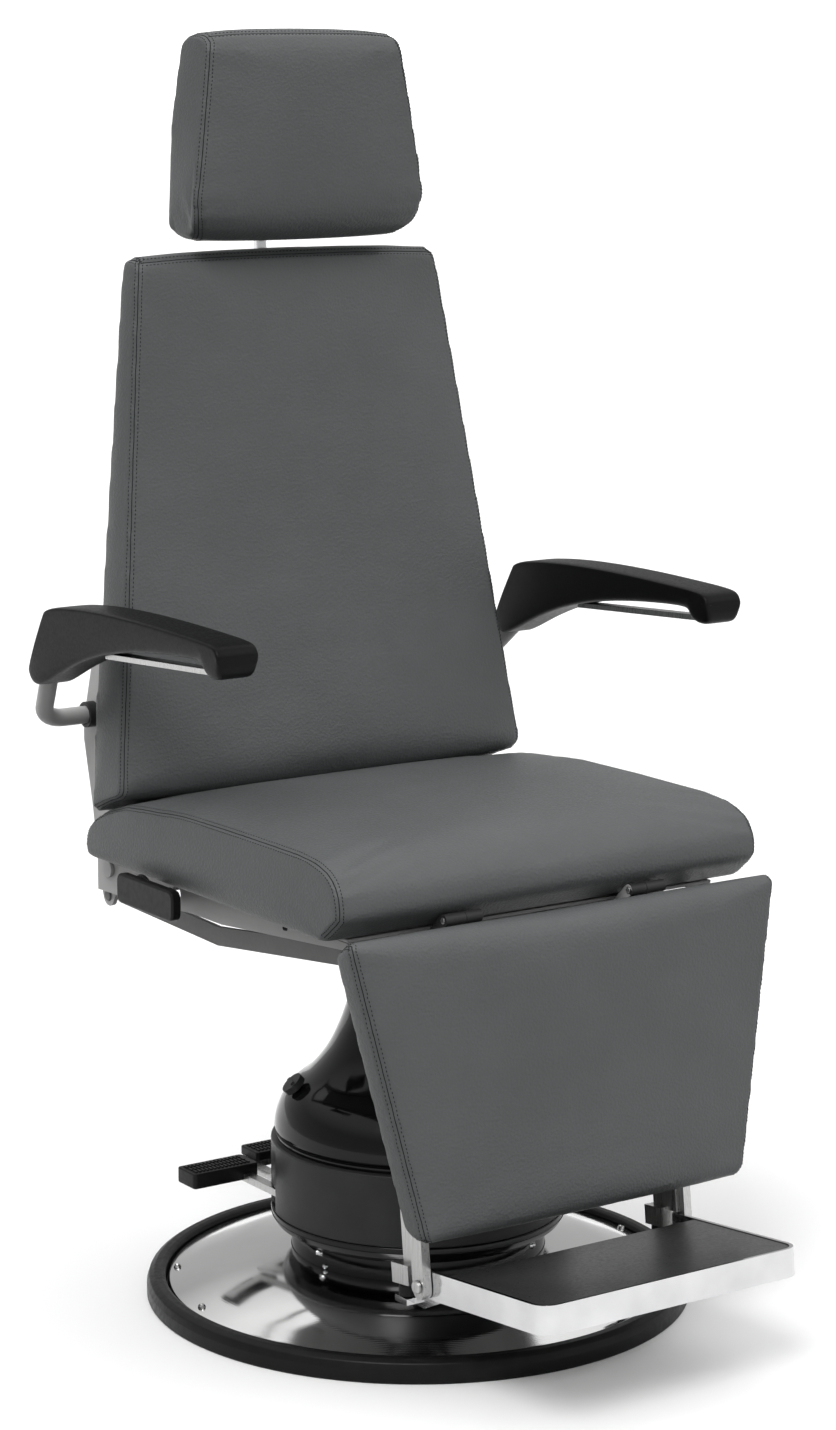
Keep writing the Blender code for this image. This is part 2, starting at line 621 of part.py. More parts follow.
# Release lever on the sitter's right
lever_y, lever_z = LEVER_PIVOT
lever_in = -(SIDE_INNER - 0.004)
lever_out = -(SEAT_HALF + 0.0055)
bm = bmesh.new()
add_box(bm, (lever_out - 0.016, 0.0365, lever_z - 0.008), (lever_out - 0.004, 0.160, lever_z + 0.025))
lever = bevelled(from_bmesh("release_lever", bm, BLACK_SATIN, "lever"), 0.004, 2)
bm = bmesh.new()
add_rod(bm, (lever_out - 0.006, lever_y, lever_z + 0.008), (lever_out, lever_y, lever_z + 0.008), 0.019,
        24)
boolean(lever, cutter("lever_disc", bm), "UNION")
bm = bmesh.new()
add_rod(bm, (lever_out - 0.002, lever_y, lever_z), (lever_in, lever_y, lever_z), lever_shaft, 16)
boolean(lever, cutter("lever_shaft", bm), "UNION")

# Back frame
lean = atan2(BACK_HEAD[0] - BACK_FOOT[0], BACK_HEAD[1] - BACK_FOOT[1])


def back_point(out, level):
    """Return (y, z) at a height level on the back cushion's rear line, moved out behind it."""
    y = BACK_FOOT[0] + (level - BACK_FOOT[1]) * tan(lean)
    return (y + out * cos(lean), level - out * sin(lean))


behind = BACK_BOARD + 2.0 * FIT
boss = 0.014
lobe = 0.012
back_outline = [(link_rear[0] + lobe * cos(radians(a)), link_rear[1] + lobe * sin(radians(a)))
                for a in range(200, 341, 20)]
back_outline += [(0.3030, 0.440), (0.3183, 0.5226), (0.3345, 0.590), (0.3345, 0.612), (0.3129, 0.682),
                 (0.2950, 0.700)]
back_outline += [(0.2900, 0.715), back_point(behind, 0.715), back_point(behind, 0.545), (0.2645, 0.530),
                 (0.2645, 0.474)]
back_outline += [(BACK_PIVOT[0] + boss * cos(radians(a)), BACK_PIVOT[1] + boss * sin(radians(a)))
                 for a in range(95, 216, 20)]
bm = as_mesh(plate("back_plate", back_outline,
                   [circle(BACK_PIVOT, hinge_pin + RUN), circle(link_rear, SHAFT_RADIUS + RUN)],
                   BACK_PLATE_INNER, BACK_PLATE_INNER + BACK_PLATE_SHEET, GREY_PAINT))
back_frame = mirrored(from_bmesh("back_frame", bm, GREY_PAINT, "back"))
tube_end = BACK_PLATE_INNER + BACK_PLATE_SHEET / 2.0
for name, y, z in (("lower_tube", 0.2865, 0.575), ("upper_tube", 0.2880, 0.698)):
    bm = bmesh.new()
    add_rod(bm, (-tube_end, y, z), (tube_end, y, z), 0.010, 16)
    boolean(back_frame, cutter(name, bm), "UNION")


def back_half(z):
    """Return the half width of the back at a height."""
    return between(z, 0.565, 1.127, BACK_HALF_LOW, BACK_HALF_HIGH)


board_low = 0.548
board_high = 1.098
board = []
for sign, order in ((-1.0, 1), (1.0, -1)):
    side = [(sign * (back_half(level) - 0.014),
             (level - BACK_FOOT[1]) / cos(lean)) for level in (board_high, board_low)]
    board += side[::order]
back_board = sheet("back_board", board, [], BACK_BOARD, LINING, "back")
back_board.rotation_euler = (pi / 2.0 - lean, 0.0, 0.0)
board_seat = back_point(FIT + BACK_BOARD / 2.0, BACK_FOOT[1])
back_board.location = (0.0, *board_seat)

bm = bmesh.new()
shaft_end = BACK_PLATE_INNER + BACK_PLATE_SHEET + 0.002
add_rod(bm, (-shaft_end, *link_rear), (shaft_end, *link_rear), SHAFT_RADIUS, 16)
from_bmesh("link_shaft", bm, STEEL, "back")

bush_in = BACK_PLATE_INNER + BACK_PLATE_SHEET + FIT
bush_out = bush_in + 0.012
for side, sign in (("left", -1.0), ("right", 1.0)):
    turned("arm_bush_" + side, [
        (ARM_TUBE + RUN, bush_out), (ARM_TUBE + 0.0045, bush_out), (ARM_TUBE + 0.0045, bush_in),
        (ARM_TUBE + RUN, bush_in)], BLACK_SATIN, "back", steps=20,
        seat=Matrix.Translation((0.0, *ARM_PIVOT)) @ Matrix.Rotation(sign * pi / 2.0, 4, "Y"))

back_profile = [
    (0.2470, 0.5300, 0.0), (*back_point(0.0, 0.640), 0.0), (*back_point(0.0, 0.873), 0.0),
    (*back_point(0.0, 1.112), 0.0),
    (0.2845, 1.1220, 0.2), (0.2720, 1.1285, 0.8), (0.2580, 1.1275, 1.0), (0.2490, 1.1180, 1.0),
    (0.2330, 1.0000, 1.0),
    (0.2155, 0.8650, 1.0), (0.1970, 0.7250, 1.0), (0.1830, 0.6120, 1.0), (0.1765, 0.5700, 1.0),
    (0.1780, 0.5570, 0.8),
    (0.1875, 0.5495, 0.4), (0.2140, 0.5400, 0.0), (0.2370, 0.5300, 0.0), (0.2430, 0.5270, 0.0)]
upholstery("back_cushion", back_profile, back_half, 0.006, 0.009, LEATHER, "back")

# Head post guide, post and tilt block
guide_low = 1.020
guide_high = 1.090
guide_half = 0.017
post_out = FIT + BACK_BOARD + FIT + guide_half
guide = sheet("head_post_guide",
              [(-0.020, -guide_half), (0.020, -guide_half), (0.020, guide_half), (-0.020, guide_half)],
              [circle((0.0, 0.0), POST_RADIUS + RUN)], guide_high - guide_low, BLACK_SATIN, "back")
guide.rotation_euler = (-lean, 0.0, 0.0)
guide.location = (0.0, *back_point(post_out, (guide_low + guide_high) / 2.0))

post_axis = Vector((0.0, sin(lean), cos(lean)))
axes["post"] = pivot("head_slide_axis", *back_point(post_out, guide_low))
block_half = 0.015
pivot_point = Vector((0.0, *HEAD_PIVOT))
bm = bmesh.new()
post_foot = Vector((0.0, *back_point(post_out, 0.940)))
post_rise = HEAD_PIVOT[1] - block_half - FIT - POST_RADIUS * sin(lean) - post_foot.z
post_head = post_foot + post_axis * (post_rise / cos(lean))
add_rod(bm, post_foot, post_head, POST_RADIUS, 16)
from_bmesh("head_post", bm, STAINLESS, "post")
bm = bmesh.new()
add_box(bm, (-0.016, HEAD_PIVOT[0] - block_half, HEAD_PIVOT[1] - block_half),
        (0.016, HEAD_PIVOT[0] + block_half, HEAD_PIVOT[1] + block_half))
tilt_block = from_bmesh("head_tilt_block", bm, BLACK_SATIN, "post")
tilt_pin = 0.004
bm = bmesh.new()
add_rod(bm, (-0.024, *HEAD_PIVOT), (0.024, *HEAD_PIVOT), tilt_pin, 12)
boolean(tilt_block, cutter("tilt_pin", bm), "UNION")

knob_out_point = back_point(post_out + guide_half + FIT, (guide_low + guide_high) / 2.0)
axes["clamp"] = pivot("clamp_axis", *knob_out_point)
turned("head_clamp_knob", [
    (0.0, 0.022), (0.013, 0.022), (0.016, 0.019), (0.016, 0.010), (0.013, 0.008), (0.007, 0.008),
    (0.007, 0.0),
    (0.0, 0.0)], BLACK_SATIN, "clamp", steps=16,
    seat=Matrix.Translation((0.0, *knob_out_point)) @ Matrix.Rotation(-pi / 2.0 - lean, 4, "X"))

# Headrest
lug_in = 0.016 + RUN
head_board_front = HEAD_REAR + FIT
head_board_rear = head_board_front + 0.008
bm = bmesh.new()
add_box(bm, (-0.090, head_board_front, 1.195), (0.090, head_board_rear, 1.345))
head_board = from_bmesh("head_board", bm, BLACK_SATIN, "head")
head_seat = (Matrix.Translation(pivot_point) @ Matrix.Rotation(HEAD_LEAN, 4, "X")
             @ Matrix.Translation(-pivot_point))
head_board.matrix_basis = head_seat
bm = bmesh.new()
for sign in (-1.0, 1.0):
    add_box(bm,
            (min(sign * lug_in, sign * (lug_in + 0.005)), head_board_rear - 0.001, HEAD_PIVOT[1] - 0.011),
            (max(sign * lug_in, sign * (lug_in + 0.005)), HEAD_PIVOT[0] + 0.011, HEAD_PIVOT[1] + 0.011))
head_lugs = cutter("head_lugs", bm)
head_lugs.matrix_basis = head_seat
boolean(head_board, head_lugs, "UNION")
bm = bmesh.new()
add_rod(bm, (-0.030, *HEAD_PIVOT), (0.030, *HEAD_PIVOT), tilt_pin + RUN, 12)
boolean(head_board, cutter("tilt_pin_hole", bm), "DIFFERENCE")


def head_half(z):
    """Return the half width of the headrest at a height, with its rounded lower corners."""
    if z < 1.197:
        drop = min(1.0, (1.197 - z) / 0.052)
        return HEAD_HALF_LOW - 0.028 * (1.0 - (1.0 - drop * drop) ** 0.5)
    return between(z, 1.197, 1.360, HEAD_HALF_LOW, HEAD_HALF_HIGH)


head_profile = [
    (0.2765, 1.1600, 0.0), (0.2785, 1.2700, 0.0), (HEAD_REAR, 1.3510, 0.0), (0.2770, 1.3630, 0.2),
    (0.2620, 1.3700, 0.8),
    (0.2400, 1.3710, 1.0), (0.2265, 1.3660, 1.0), (0.2200, 1.3540, 1.0), (0.2125, 1.3000, 1.0),
    (0.2050, 1.2350, 1.0),
    (0.2025, 1.1970, 1.0), (0.2050, 1.1770, 1.0), (0.2140, 1.1610, 0.9), (0.2290, 1.1510, 0.6),
    (0.2480, 1.1470, 0.2),
    (0.2660, 1.1500, 0.0)]
head_cushion = upholstery("head_cushion", head_profile, head_half, 0.005, 0.008, LEATHER, "head")
head_cushion.matrix_basis = head_seat

# Armrests
arm_profile = [
    (0.150, 0.7700, 1.0), (0.190, 0.7670, 1.0), (0.218, 0.7600, 0.5), (0.240, 0.7330, 0.0),
    (0.258, 0.7030, 0.0),
    (0.264, 0.6880, 0.0), (0.258, 0.6780, 0.0), (0.245, 0.6745, 0.0), (0.224, 0.6830, 0.0),
    (0.191, 0.7005, 0.0),
    (0.125, 0.7255, 0.0), (0.059, 0.7385, 0.0), (-0.020, 0.7475, 0.0), (-0.092, 0.7515, 0.0),
    (-0.100, 0.7490, 0.0),
    (-0.107, 0.7395, 0.0), (-0.116, 0.7362, 0.0), (-0.128, 0.7355, 0.0), (-0.1335, 0.7410, 0.0),
    (-0.1345, 0.7600, 0.0),
    (-0.129, 0.7685, 0.5), (-0.113, 0.7700, 1.0), (-0.001, 0.7735, 1.0), (0.080, 0.7735, 1.0)]
for side, sign in (("left", -1.0), ("right", 1.0)):
    arm_pad = upholstery("arm_pad_" + side, arm_profile, lambda z: ARM_HALF, 0.001, 0.008, FOAM,
                         "arm_" + side, sign * ARM_CENTRE)
    tube = bpy.data.curves.new("arm_tube_" + side, "CURVE")
    tube.dimensions = "3D"
    tube.bevel_depth = ARM_TUBE
    tube.bevel_resolution = 2
    tube.use_fill_caps = True
    corner = Vector((sign * ARM_ELBOW, *ARM_PIVOT))
    start = Vector((sign * (bush_in + 0.001), *ARM_PIVOT))
    entry = Vector((sign * ARM_CENTRE, 0.2549, 0.6801))
    ahead = (entry - corner).normalized()
    reach = (entry - corner).length + 0.010
    bend = 0.020
    bm = bmesh.new()
    add_rod(bm, corner + ahead * (reach - 0.035), corner + ahead * (reach + FIT), ARM_TUBE + 2.0 * FIT)
    boolean(arm_pad, cutter("arm_%s_socket" % side, bm), "DIFFERENCE")
    path = [start, corner - Vector((sign * bend, 0.0, 0.0))]
    for step in range(1, 6):
        share = step / 6.0
        path.append(corner - Vector((sign * bend, 0.0,
                                     0.0)) * (1.0 - share) ** 2 + ahead * bend * share ** 2)
    path.append(corner + ahead * bend)
    path.append(corner + ahead * reach)
    spline = tube.splines.new("POLY")
    spline.points.add(len(path) - 1)
    for point, spot in zip(spline.points, path):
        point.co = (*spot, 1.0)
    place(bpy.data.objects.new("arm_tube_" + side, tube), GREY_PAINT, "arm_" + side)

# Link bars, as a parallelogram between the back and the legrest
elbow = (0.075, 0.414)
link_half = 0.0105


def link_outline():
    """Return the link bar's cranked outline."""
    points = []
    for end, other in ((link_rear, elbow), (link_front, elbow)):
        away = atan2(end[1] - other[1], end[0] - other[0])
        points += [(end[0] + link_half * cos(away + radians(a)),
                    end[1] + link_half * sin(away + radians(a)))
                   for a in range(-90, 91, 20)]
        if end is link_rear:
            points.append((elbow[0], elbow[1] + link_half))
    points.append((elbow[0], elbow[1] - link_half))
    return points


stud = 0.005
for side, sign in (("left", -1.0), ("right", 1.0)):
    plate("link_bar_" + side, link_outline(),
          [circle(link_rear, SHAFT_RADIUS + RUN), circle(link_front, stud + RUN)],
          sign * LINK_INNER, sign * (LINK_INNER + LINK_SHEET), GREY_PAINT, "link")


# Legrest
def leg_point(out, down):
    """Return (y, z) a distance out behind the leg pad's rear plane and down along it."""
    return (LEG_TOP[0] + out * cos(LEG_LEAN) - down * sin(LEG_LEAN),
            LEG_TOP[1] - out * sin(LEG_LEAN) - down * cos(LEG_LEAN))


leg_high = LEG_TOP[1]
leg_foot = leg_point(0.0, LEG_LENGTH)[1]


def leg_half(z):
    """Return the half width of the legrest at a height."""
    return between(z, leg_foot, leg_high + 0.012, LEG_HALF_LOW, LEG_HALF_HIGH)


leg_profile = []
for out, down, weight in (
        (0.0, 0.006, 0.0), (0.0, 0.150, 0.0), (0.0, LEG_LENGTH - 0.016, 0.0),
        (-0.004, LEG_LENGTH - 0.007, 0.0),
        (-0.018, LEG_LENGTH - 0.001, 0.2), (-LEG_PAD + 0.007, LEG_LENGTH, 0.6),
        (-LEG_PAD, LEG_LENGTH - 0.008, 1.0),
        (-LEG_PAD, 0.220, 1.0), (-LEG_PAD, 0.120, 1.0), (-LEG_PAD, 0.020, 1.0), (-LEG_PAD, -0.004, 0.5),
        (-LEG_PAD + 0.006, -0.0115, 0.0), (-0.022, -0.009, 0.0), (-0.007, 0.0005, 0.0)):
    leg_profile.append((*leg_point(out, down), weight))
upholstery("leg_cushion", leg_profile, leg_half, 0.005, 0.008, LEATHER, "leg")

board_top = 0.014
board_foot = LEG_LENGTH - 0.020
board_wide = LINK_INNER - 2.0 * RUN
leg_board = sheet("leg_board", [
    (-board_wide, -board_top), (-board_wide + 0.030, -board_foot), (board_wide - 0.030, -board_foot),
    (board_wide, -board_top)], [], LEG_BOARD, LINING, "leg")
leg_board.rotation_euler = (pi / 2.0 - LEG_LEAN, 0.0, 0.0)
leg_board.location = (0.0, *leg_point(FIT + LEG_BOARD / 2.0, 0.0))

# Leg frame: strips, bars, hinge leaves, link arms and stop blocks welded together
on_board = 2.0 * FIT + LEG_BOARD
strip_rear = on_board + LEG_STRIP
strip_down = 0.110
strip_tall = 0.028
arm_outer = LINK_INNER - RUN
arm_inner = arm_outer - 0.0045


def strip(down, half):
    """Return a flat strip across the back of the leg board."""
    bm = bmesh.new()
    add_prism(bm,
        [leg_point(on_board, down), leg_point(strip_rear, down), leg_point(strip_rear, down + strip_tall),
                   leg_point(on_board, down + strip_tall)], -half, half)
    return bm


leg_frame = from_bmesh("leg_frame", strip(strip_down, arm_outer), STEEL, "leg")
boolean(leg_frame, cutter("lower_strip", strip(0.245, BAR_OUTER - 0.005)), "UNION")

leaf = [leg_point(on_board, strip_down + 0.010), leg_point(on_board, 0.018), (-0.2330, 0.4660),
        (-0.2420, 0.4765)]
leaf += [(LEG_PIVOT[0] + knuckle * cos(radians(a)), LEG_PIVOT[1] + knuckle * sin(radians(a)))
         for a in range(235, 29, -20)]
leaf += [(-0.2235 + 0.0045 * cos(radians(a)), 0.4655 + 0.0045 * sin(radians(a))) for a in (40, 10, -20)]
leaf += [leg_point(on_board + 0.010, 0.024), leg_point(on_board + 0.007, strip_down + 0.010)]
bm = as_mesh(plate("leaf", leaf, [circle(LEG_PIVOT, leg_pin + RUN, 12)], leaf_inner, leaf_outer, STEEL))
boolean(leg_frame, mirrored(cutter("leg_hinge_leaves", bm)), "UNION")

front_arm = [leg_point(on_board + 0.001, strip_down + 0.010), leg_point(on_board + 0.001, 0.018)]
front_arm += [(link_front[0] + 0.009 * cos(radians(a)), link_front[1] + 0.009 * sin(radians(a)))
              for a in range(110, -31, -20)]
front_arm.append(leg_point(on_board + 0.009, strip_down + 0.010))
bm = bmesh.new()
add_prism(bm, front_arm, arm_inner, arm_outer)
boolean(leg_frame, mirrored(cutter("leg_link_arms", bm)), "UNION")
bm = bmesh.new()
add_rod(bm, (arm_inner + 0.001, *link_front), (LINK_INNER + LINK_SHEET + 0.002, *link_front), stud, 16)
boolean(leg_frame, mirrored(cutter("link_studs", bm)), "UNION")

bar_front = strip_rear - 0.001
bar_rear = bar_front + BAR_DEPTH
foot_out = (bar_front + bar_rear) / 2.0
foot_pivot = leg_point(foot_out, FOOT_DOWN)
foot_bolt = 0.004
bar = [leg_point(bar_front, 0.100), leg_point(bar_rear, 0.100)]
bar += [leg_point(foot_out + BAR_DEPTH / 2.0 * cos(radians(a)),
                  FOOT_DOWN + 0.004 + BAR_DEPTH / 2.0 * sin(radians(a)))
        for a in range(0, 181, 20)]
bm = as_mesh(plate("bar", bar, [circle(foot_pivot, foot_bolt + RUN, 12)], BAR_INNER, BAR_OUTER, STEEL))
boolean(leg_frame, mirrored(cutter("leg_front_bars", bm)), "UNION")

strip_outer = BAR_INNER + 0.001
strip_inner = strip_outer - 0.0056
stop_down = FOOT_DOWN - 0.0185
stop_front = bar_rear + 0.0075
stop_back = stop_front + 0.030
bm = bmesh.new()
add_prism(bm, [leg_point(bar_rear - 0.012, 0.104), leg_point(stop_back - 0.010, 0.104),
               leg_point(stop_back - 0.010, stop_down + 0.002),
               leg_point(bar_rear - 0.012, stop_down + 0.002)],
          strip_inner, strip_outer)
boolean(leg_frame, mirrored(cutter("leg_rear_strips", bm)), "UNION")
bm = bmesh.new()
add_prism(bm,
    [leg_point(stop_front, stop_down), leg_point(stop_back, stop_down),
    leg_point(stop_back, stop_down + 0.021),
               leg_point(stop_front, stop_down + 0.021)], BAR_INNER - 0.0095, BAR_OUTER)
boolean(leg_frame, mirrored(cutter("leg_stop_blocks", bm)), "UNION")

bolt_head = BAR_OUTER + FIT
for side, sign in (("left", -1.0), ("right", 1.0)):
    turned("foot_pivot_bolt_" + side, [
        (0.0, bolt_head + 0.0045), (0.0055, bolt_head + 0.0045), (0.007, bolt_head + 0.003),
        (0.007, bolt_head),
        (foot_bolt, bolt_head), (foot_bolt, FOOT_HALF - FOOT_WALL - 0.006),
        (0.0, FOOT_HALF - FOOT_WALL - 0.006)],
        STEEL, "leg", steps=14,
        seat=Matrix.Translation((0.0, *foot_pivot)) @ Matrix.Rotation(sign * pi / 2.0, 4, "Y"))

# Footrest, in its own tilted plane through the pivot
axes["foot"] = pivot("footrest_axis", *foot_pivot)
foot_seat = Matrix.Translation((0.0, *foot_pivot)) @ Matrix.Rotation(-FOOT_LIFT, 4, "X")


def foot_corner(sign, radius, half):
    """Return the points of a rounded front corner."""
    turns = range(0, 91, 18)
    points = [(sign * (half - radius + radius * cos(radians(a))),
               -FOOT_REACH + FOOT_CORNER - radius * sin(radians(a))) for a in turns]
    return points if sign > 0.0 else points[::-1]


def foot_point(along, up):
    """Return (y, z) in the footrest's plane, measured from its pivot."""
    return (foot_pivot[0] + along * cos(FOOT_LIFT) + up * sin(FOOT_LIFT),
            foot_pivot[1] - along * sin(FOOT_LIFT) + up * cos(FOOT_LIFT))


stop_face = leg_point((stop_front + stop_back) / 2.0, stop_down + 0.021)
bumper_y = stop_face[0] + 0.002
bumper_top = min(leg_point(stop_back, stop_down + 0.021)[1], stop_face[1]) - FIT
bumper_low = bumper_top - 0.012
foot_rear = 0.006
inner_half = FOOT_HALF - FOOT_WALL
frame_outline = [(FOOT_HALF, foot_rear)] + foot_corner(1.0, FOOT_CORNER, FOOT_HALF)
frame_outline += foot_corner(-1.0, FOOT_CORNER, FOOT_HALF) + [(-FOOT_HALF, foot_rear),
                                                              (-inner_half, foot_rear)]
frame_outline += foot_corner(-1.0, FOOT_CORNER - FOOT_WALL, inner_half)[::-1]
frame_outline += foot_corner(1.0, FOOT_CORNER - FOOT_WALL, inner_half)[::-1] + [(inner_half, foot_rear)]
bm = bmesh.new()
face = bm.faces.new([bm.verts.new((x, y, -FOOT_HEIGHT / 2.0)) for x, y in frame_outline])
grown = bmesh.ops.extrude_face_region(bm, geom=[face])["geom"]
raised = [item for item in grown if isinstance(item, bmesh.types.BMVert)]
bmesh.ops.translate(bm, vec=(0.0, 0.0, FOOT_HEIGHT), verts=raised)
bmesh.ops.transform(bm, matrix=foot_seat, verts=bm.verts[:])
foot_frame = from_bmesh("foot_frame", bm, ALUMINIUM, "foot")
tab_floor = bumper_low - FIT - 0.007
tab = [
    foot_point(-0.028, 0.004), foot_point(-0.028, -0.013), (foot_pivot[0] + 0.006, tab_floor),
    (bumper_y - 0.008, tab_floor), (bumper_y - 0.008, bumper_low - FIT), foot_point(-0.008, 0.004)]
bm = bmesh.new()
add_prism(bm, tab, inner_half - 0.009, inner_half + 0.003)
boolean(foot_frame, mirrored(cutter("foot_tail_tabs", bm)), "UNION")
bm = bmesh.new()
add_box(bm, (inner_half - 0.008, bumper_y - 0.012, tab_floor + FIT),
        (BAR_OUTER - 0.001, bumper_y + 0.010, bumper_low - FIT))
boolean(foot_frame, mirrored(cutter("foot_tail_shelves", bm)), "UNION")
bm = bmesh.new()
add_rod(bm, (-BAR_OUTER, *foot_pivot), (BAR_OUTER, *foot_pivot), foot_bolt + RUN, 12)
boolean(foot_frame, cutter("foot_bolt_hole", bm), "DIFFERENCE")


deck_top = FOOT_HEIGHT / 2.0 - 0.0060
deck_low = deck_top - 0.005
deck_rear = -0.033
deck_front = -FOOT_REACH + FOOT_WALL + FIT


def deck(name, low, high, look):
    """Make a flat piece that fills the footrest's frame."""
    half = inner_half - FIT
    radius = FOOT_CORNER - FOOT_WALL - FIT
    outline = [(half, deck_rear)] + foot_corner(1.0, radius, half) + foot_corner(-1.0, radius,
        half) + [(-half, deck_rear)]
    obj = sheet(name, outline, [], high - low, look, "foot")
    obj.matrix_basis = foot_seat @ Matrix.Translation((0.0, 0.0, (low + high) / 2.0))
    return obj


deck("foot_plate", deck_low, deck_top, STEEL)
deck("foot_mat", deck_top + FIT, FOOT_HEIGHT / 2.0 - 0.0006, RUBBER)

bumper_x = BAR_INNER
for side, sign in (("left", -1.0), ("right", 1.0)):
    bm = bmesh.new()
    add_rod(bm, (sign * bumper_x, bumper_y, bumper_low), (sign * bumper_x, bumper_y, bumper_top), 0.0090,
            16)
    from_bmesh("foot_bumper_" + side, bm, RUBBER, "foot")
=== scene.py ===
"""Looks of an ear, nose and throat chair: upholstery, armrests, painted frame, spun base and footrest.

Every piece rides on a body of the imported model. Metres, +Z up, the sitter faces -Y.
"""

import json
from math import cos, pi, radians, sin, tan

import bmesh
import bpy
from mathutils import Matrix, Vector, noise
from mathutils.bvhtree import BVHTree
from mathutils.kdtree import KDTree


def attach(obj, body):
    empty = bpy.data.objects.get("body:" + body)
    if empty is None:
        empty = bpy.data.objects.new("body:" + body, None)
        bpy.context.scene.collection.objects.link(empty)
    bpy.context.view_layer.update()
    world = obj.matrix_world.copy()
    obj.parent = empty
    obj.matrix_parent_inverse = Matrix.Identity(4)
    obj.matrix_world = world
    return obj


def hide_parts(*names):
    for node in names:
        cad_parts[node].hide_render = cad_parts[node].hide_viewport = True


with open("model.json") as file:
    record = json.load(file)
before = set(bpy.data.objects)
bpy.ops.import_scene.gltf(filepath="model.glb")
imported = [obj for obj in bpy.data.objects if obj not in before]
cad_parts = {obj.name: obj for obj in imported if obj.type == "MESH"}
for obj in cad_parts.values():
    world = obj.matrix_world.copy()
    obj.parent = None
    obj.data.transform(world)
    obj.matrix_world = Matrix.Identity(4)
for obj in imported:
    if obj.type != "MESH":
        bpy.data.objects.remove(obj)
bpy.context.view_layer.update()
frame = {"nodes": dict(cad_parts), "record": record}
record = frame["record"]
home = {node: body for body, nodes in record["behaviour"]["bodies"].items() for node in nodes}
slots = {part["node"]: part["material_slot"] for part in record["subparts"]}
scene = bpy.context.scene

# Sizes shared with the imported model
BASE_RADIUS = 0.300
RING_HEIGHT = 0.026
RING_INNER = 0.279
HUB_RADIUS = 0.140
HUB_TOP = 0.078
DRUM_RADIUS = 0.162
DRUM_TOP = 0.178
BELL_FOOT = 0.1783
BELL_TOP = 0.372
BELL_NECK = 0.0605
BELL_BASE = 0.158
SEAT_HALF = 0.267
BACK_LOW = 0.266
BACK_HIGH = 0.195
HEAD_LOW = 0.146
HEAD_HIGH = 0.122
HEAD_PIVOT = (0.3145, 1.247)
HEAD_LEAN = radians(3.0)
LEG_HIGH = 0.270
LEG_LOW = 0.203
ARM_CENTRE = 0.310
ARM_HALF = 0.022
ARM_PIVOT = (0.310, 0.6225)
ARM_ELBOW = 0.290
ARM_ENTRY = (0.2549, 0.6801)
ARM_TUBE = 0.010
ARM_PROUD = 0.0025
LEG_TOP = (-0.241, 0.472)
LEG_LEAN = radians(6.56)
LEG_PAD = 0.0367
LEG_LENGTH = 0.304
SIDE_FACE = 0.2335

# Sizes of the sewing
SEAM_STEP = 0.0015
SEAM_THREAD = 0.0005
SEAM_HOLD = 0.007
SEAM_REACH = 0.011
GROOVE_WIDTH = 0.0045
GROOVE_DEPTH = 0.0009
WELT_AWAY = 0.0065
WELT_HEIGHT = 0.0003
STITCH_AWAY = 0.0043
STITCH_PITCH = 0.0037
STITCH_LIFT = 0.0001
STITCH_SIZE = (0.0014, 0.0005, 0.0004)
SWELL_FRAMES = 20

# Sizes of the trim
ARM_ROOT = 0.226
ARM_BEND = 0.034
ARM_INSERT = 0.010
BAR_HALF = 0.008
BAR_THICK = 0.0062
SCREW_CIRCLE = 0.2665
TREAD_TOP = 0.1358
TREAD_RIM = 0.004
RIB_ROWS = 3
RIB_PITCH = 0.0048
RIB_SIZE = (0.0026, 0.0020)
RIB_GAP = 0.0022
LEVER_FRONT, LEVER_REAR = 0.0365, 0.154
LEVER_LOW, LEVER_HIGH = 0.447, 0.480
LEVER_PIVOT = (0.120, 0.455)
LEVER_BOSS = (0.120, 0.463)

# Camera at the photograph's angle
lens = bpy.data.cameras.new("photo_camera")
lens.sensor_width = 36.0
lens.lens = 90.76
camera = bpy.data.objects.new("photo_camera", lens)
camera.location = (-2.159, -3.147, 1.357)
camera.rotation_euler = (radians(90.0 - 10.57), 0.0, radians(-34.45))
scene.collection.objects.link(camera)
scene.camera = camera


# Finishes
def finish(name, colour, roughness, metallic=0.0, **sockets):
    """Start a Principled material with the values that are the same all over."""
    made = bpy.data.materials.new(name)
    made.use_nodes = True
    shader = made.node_tree.nodes["Principled BSDF"]
    shader.inputs["Base Color"].default_value = (*colour, 1.0)
    shader.inputs["Roughness"].default_value = roughness
    shader.inputs["Metallic"].default_value = metallic
    for socket, value in sockets.items():
        shader.inputs[socket.replace("_", " ")].default_value = value
    return made


def pattern(made, kind, scale, stretch=(1.0, 1.0, 1.0), **settings):
    """Add a texture on Object coordinates and return its first output."""
    tree = made.node_tree
    place = tree.nodes.new("ShaderNodeTexCoord")
    mapping = tree.nodes.new("ShaderNodeMapping")
    mapping.inputs["Scale"].default_value = stretch
    texture = tree.nodes.new(kind)
    texture.inputs["Scale"].default_value = scale
    for socket, value in settings.items():
        texture.inputs[socket].default_value = value
    tree.links.new(place.outputs["Object"], mapping.inputs["Vector"])
    tree.links.new(mapping.outputs["Vector"], texture.inputs["Vector"])
    return texture.outputs[0]


def tint(made, value, dark, light, low=0.3, high=0.7):
    """Drive the base colour between two colours."""
    tree = made.node_tree
    ramp = tree.nodes.new("ShaderNodeValToRGB")
    ramp.color_ramp.elements[0].position = low
    ramp.color_ramp.elements[0].color = (*dark, 1.0)
    ramp.color_ramp.elements[1].position = high
    ramp.color_ramp.elements[1].color = (*light, 1.0)
    tree.links.new(value, ramp.inputs["Fac"])
    tree.links.new(ramp.outputs["Color"], tree.nodes["Principled BSDF"].inputs["Base Color"])


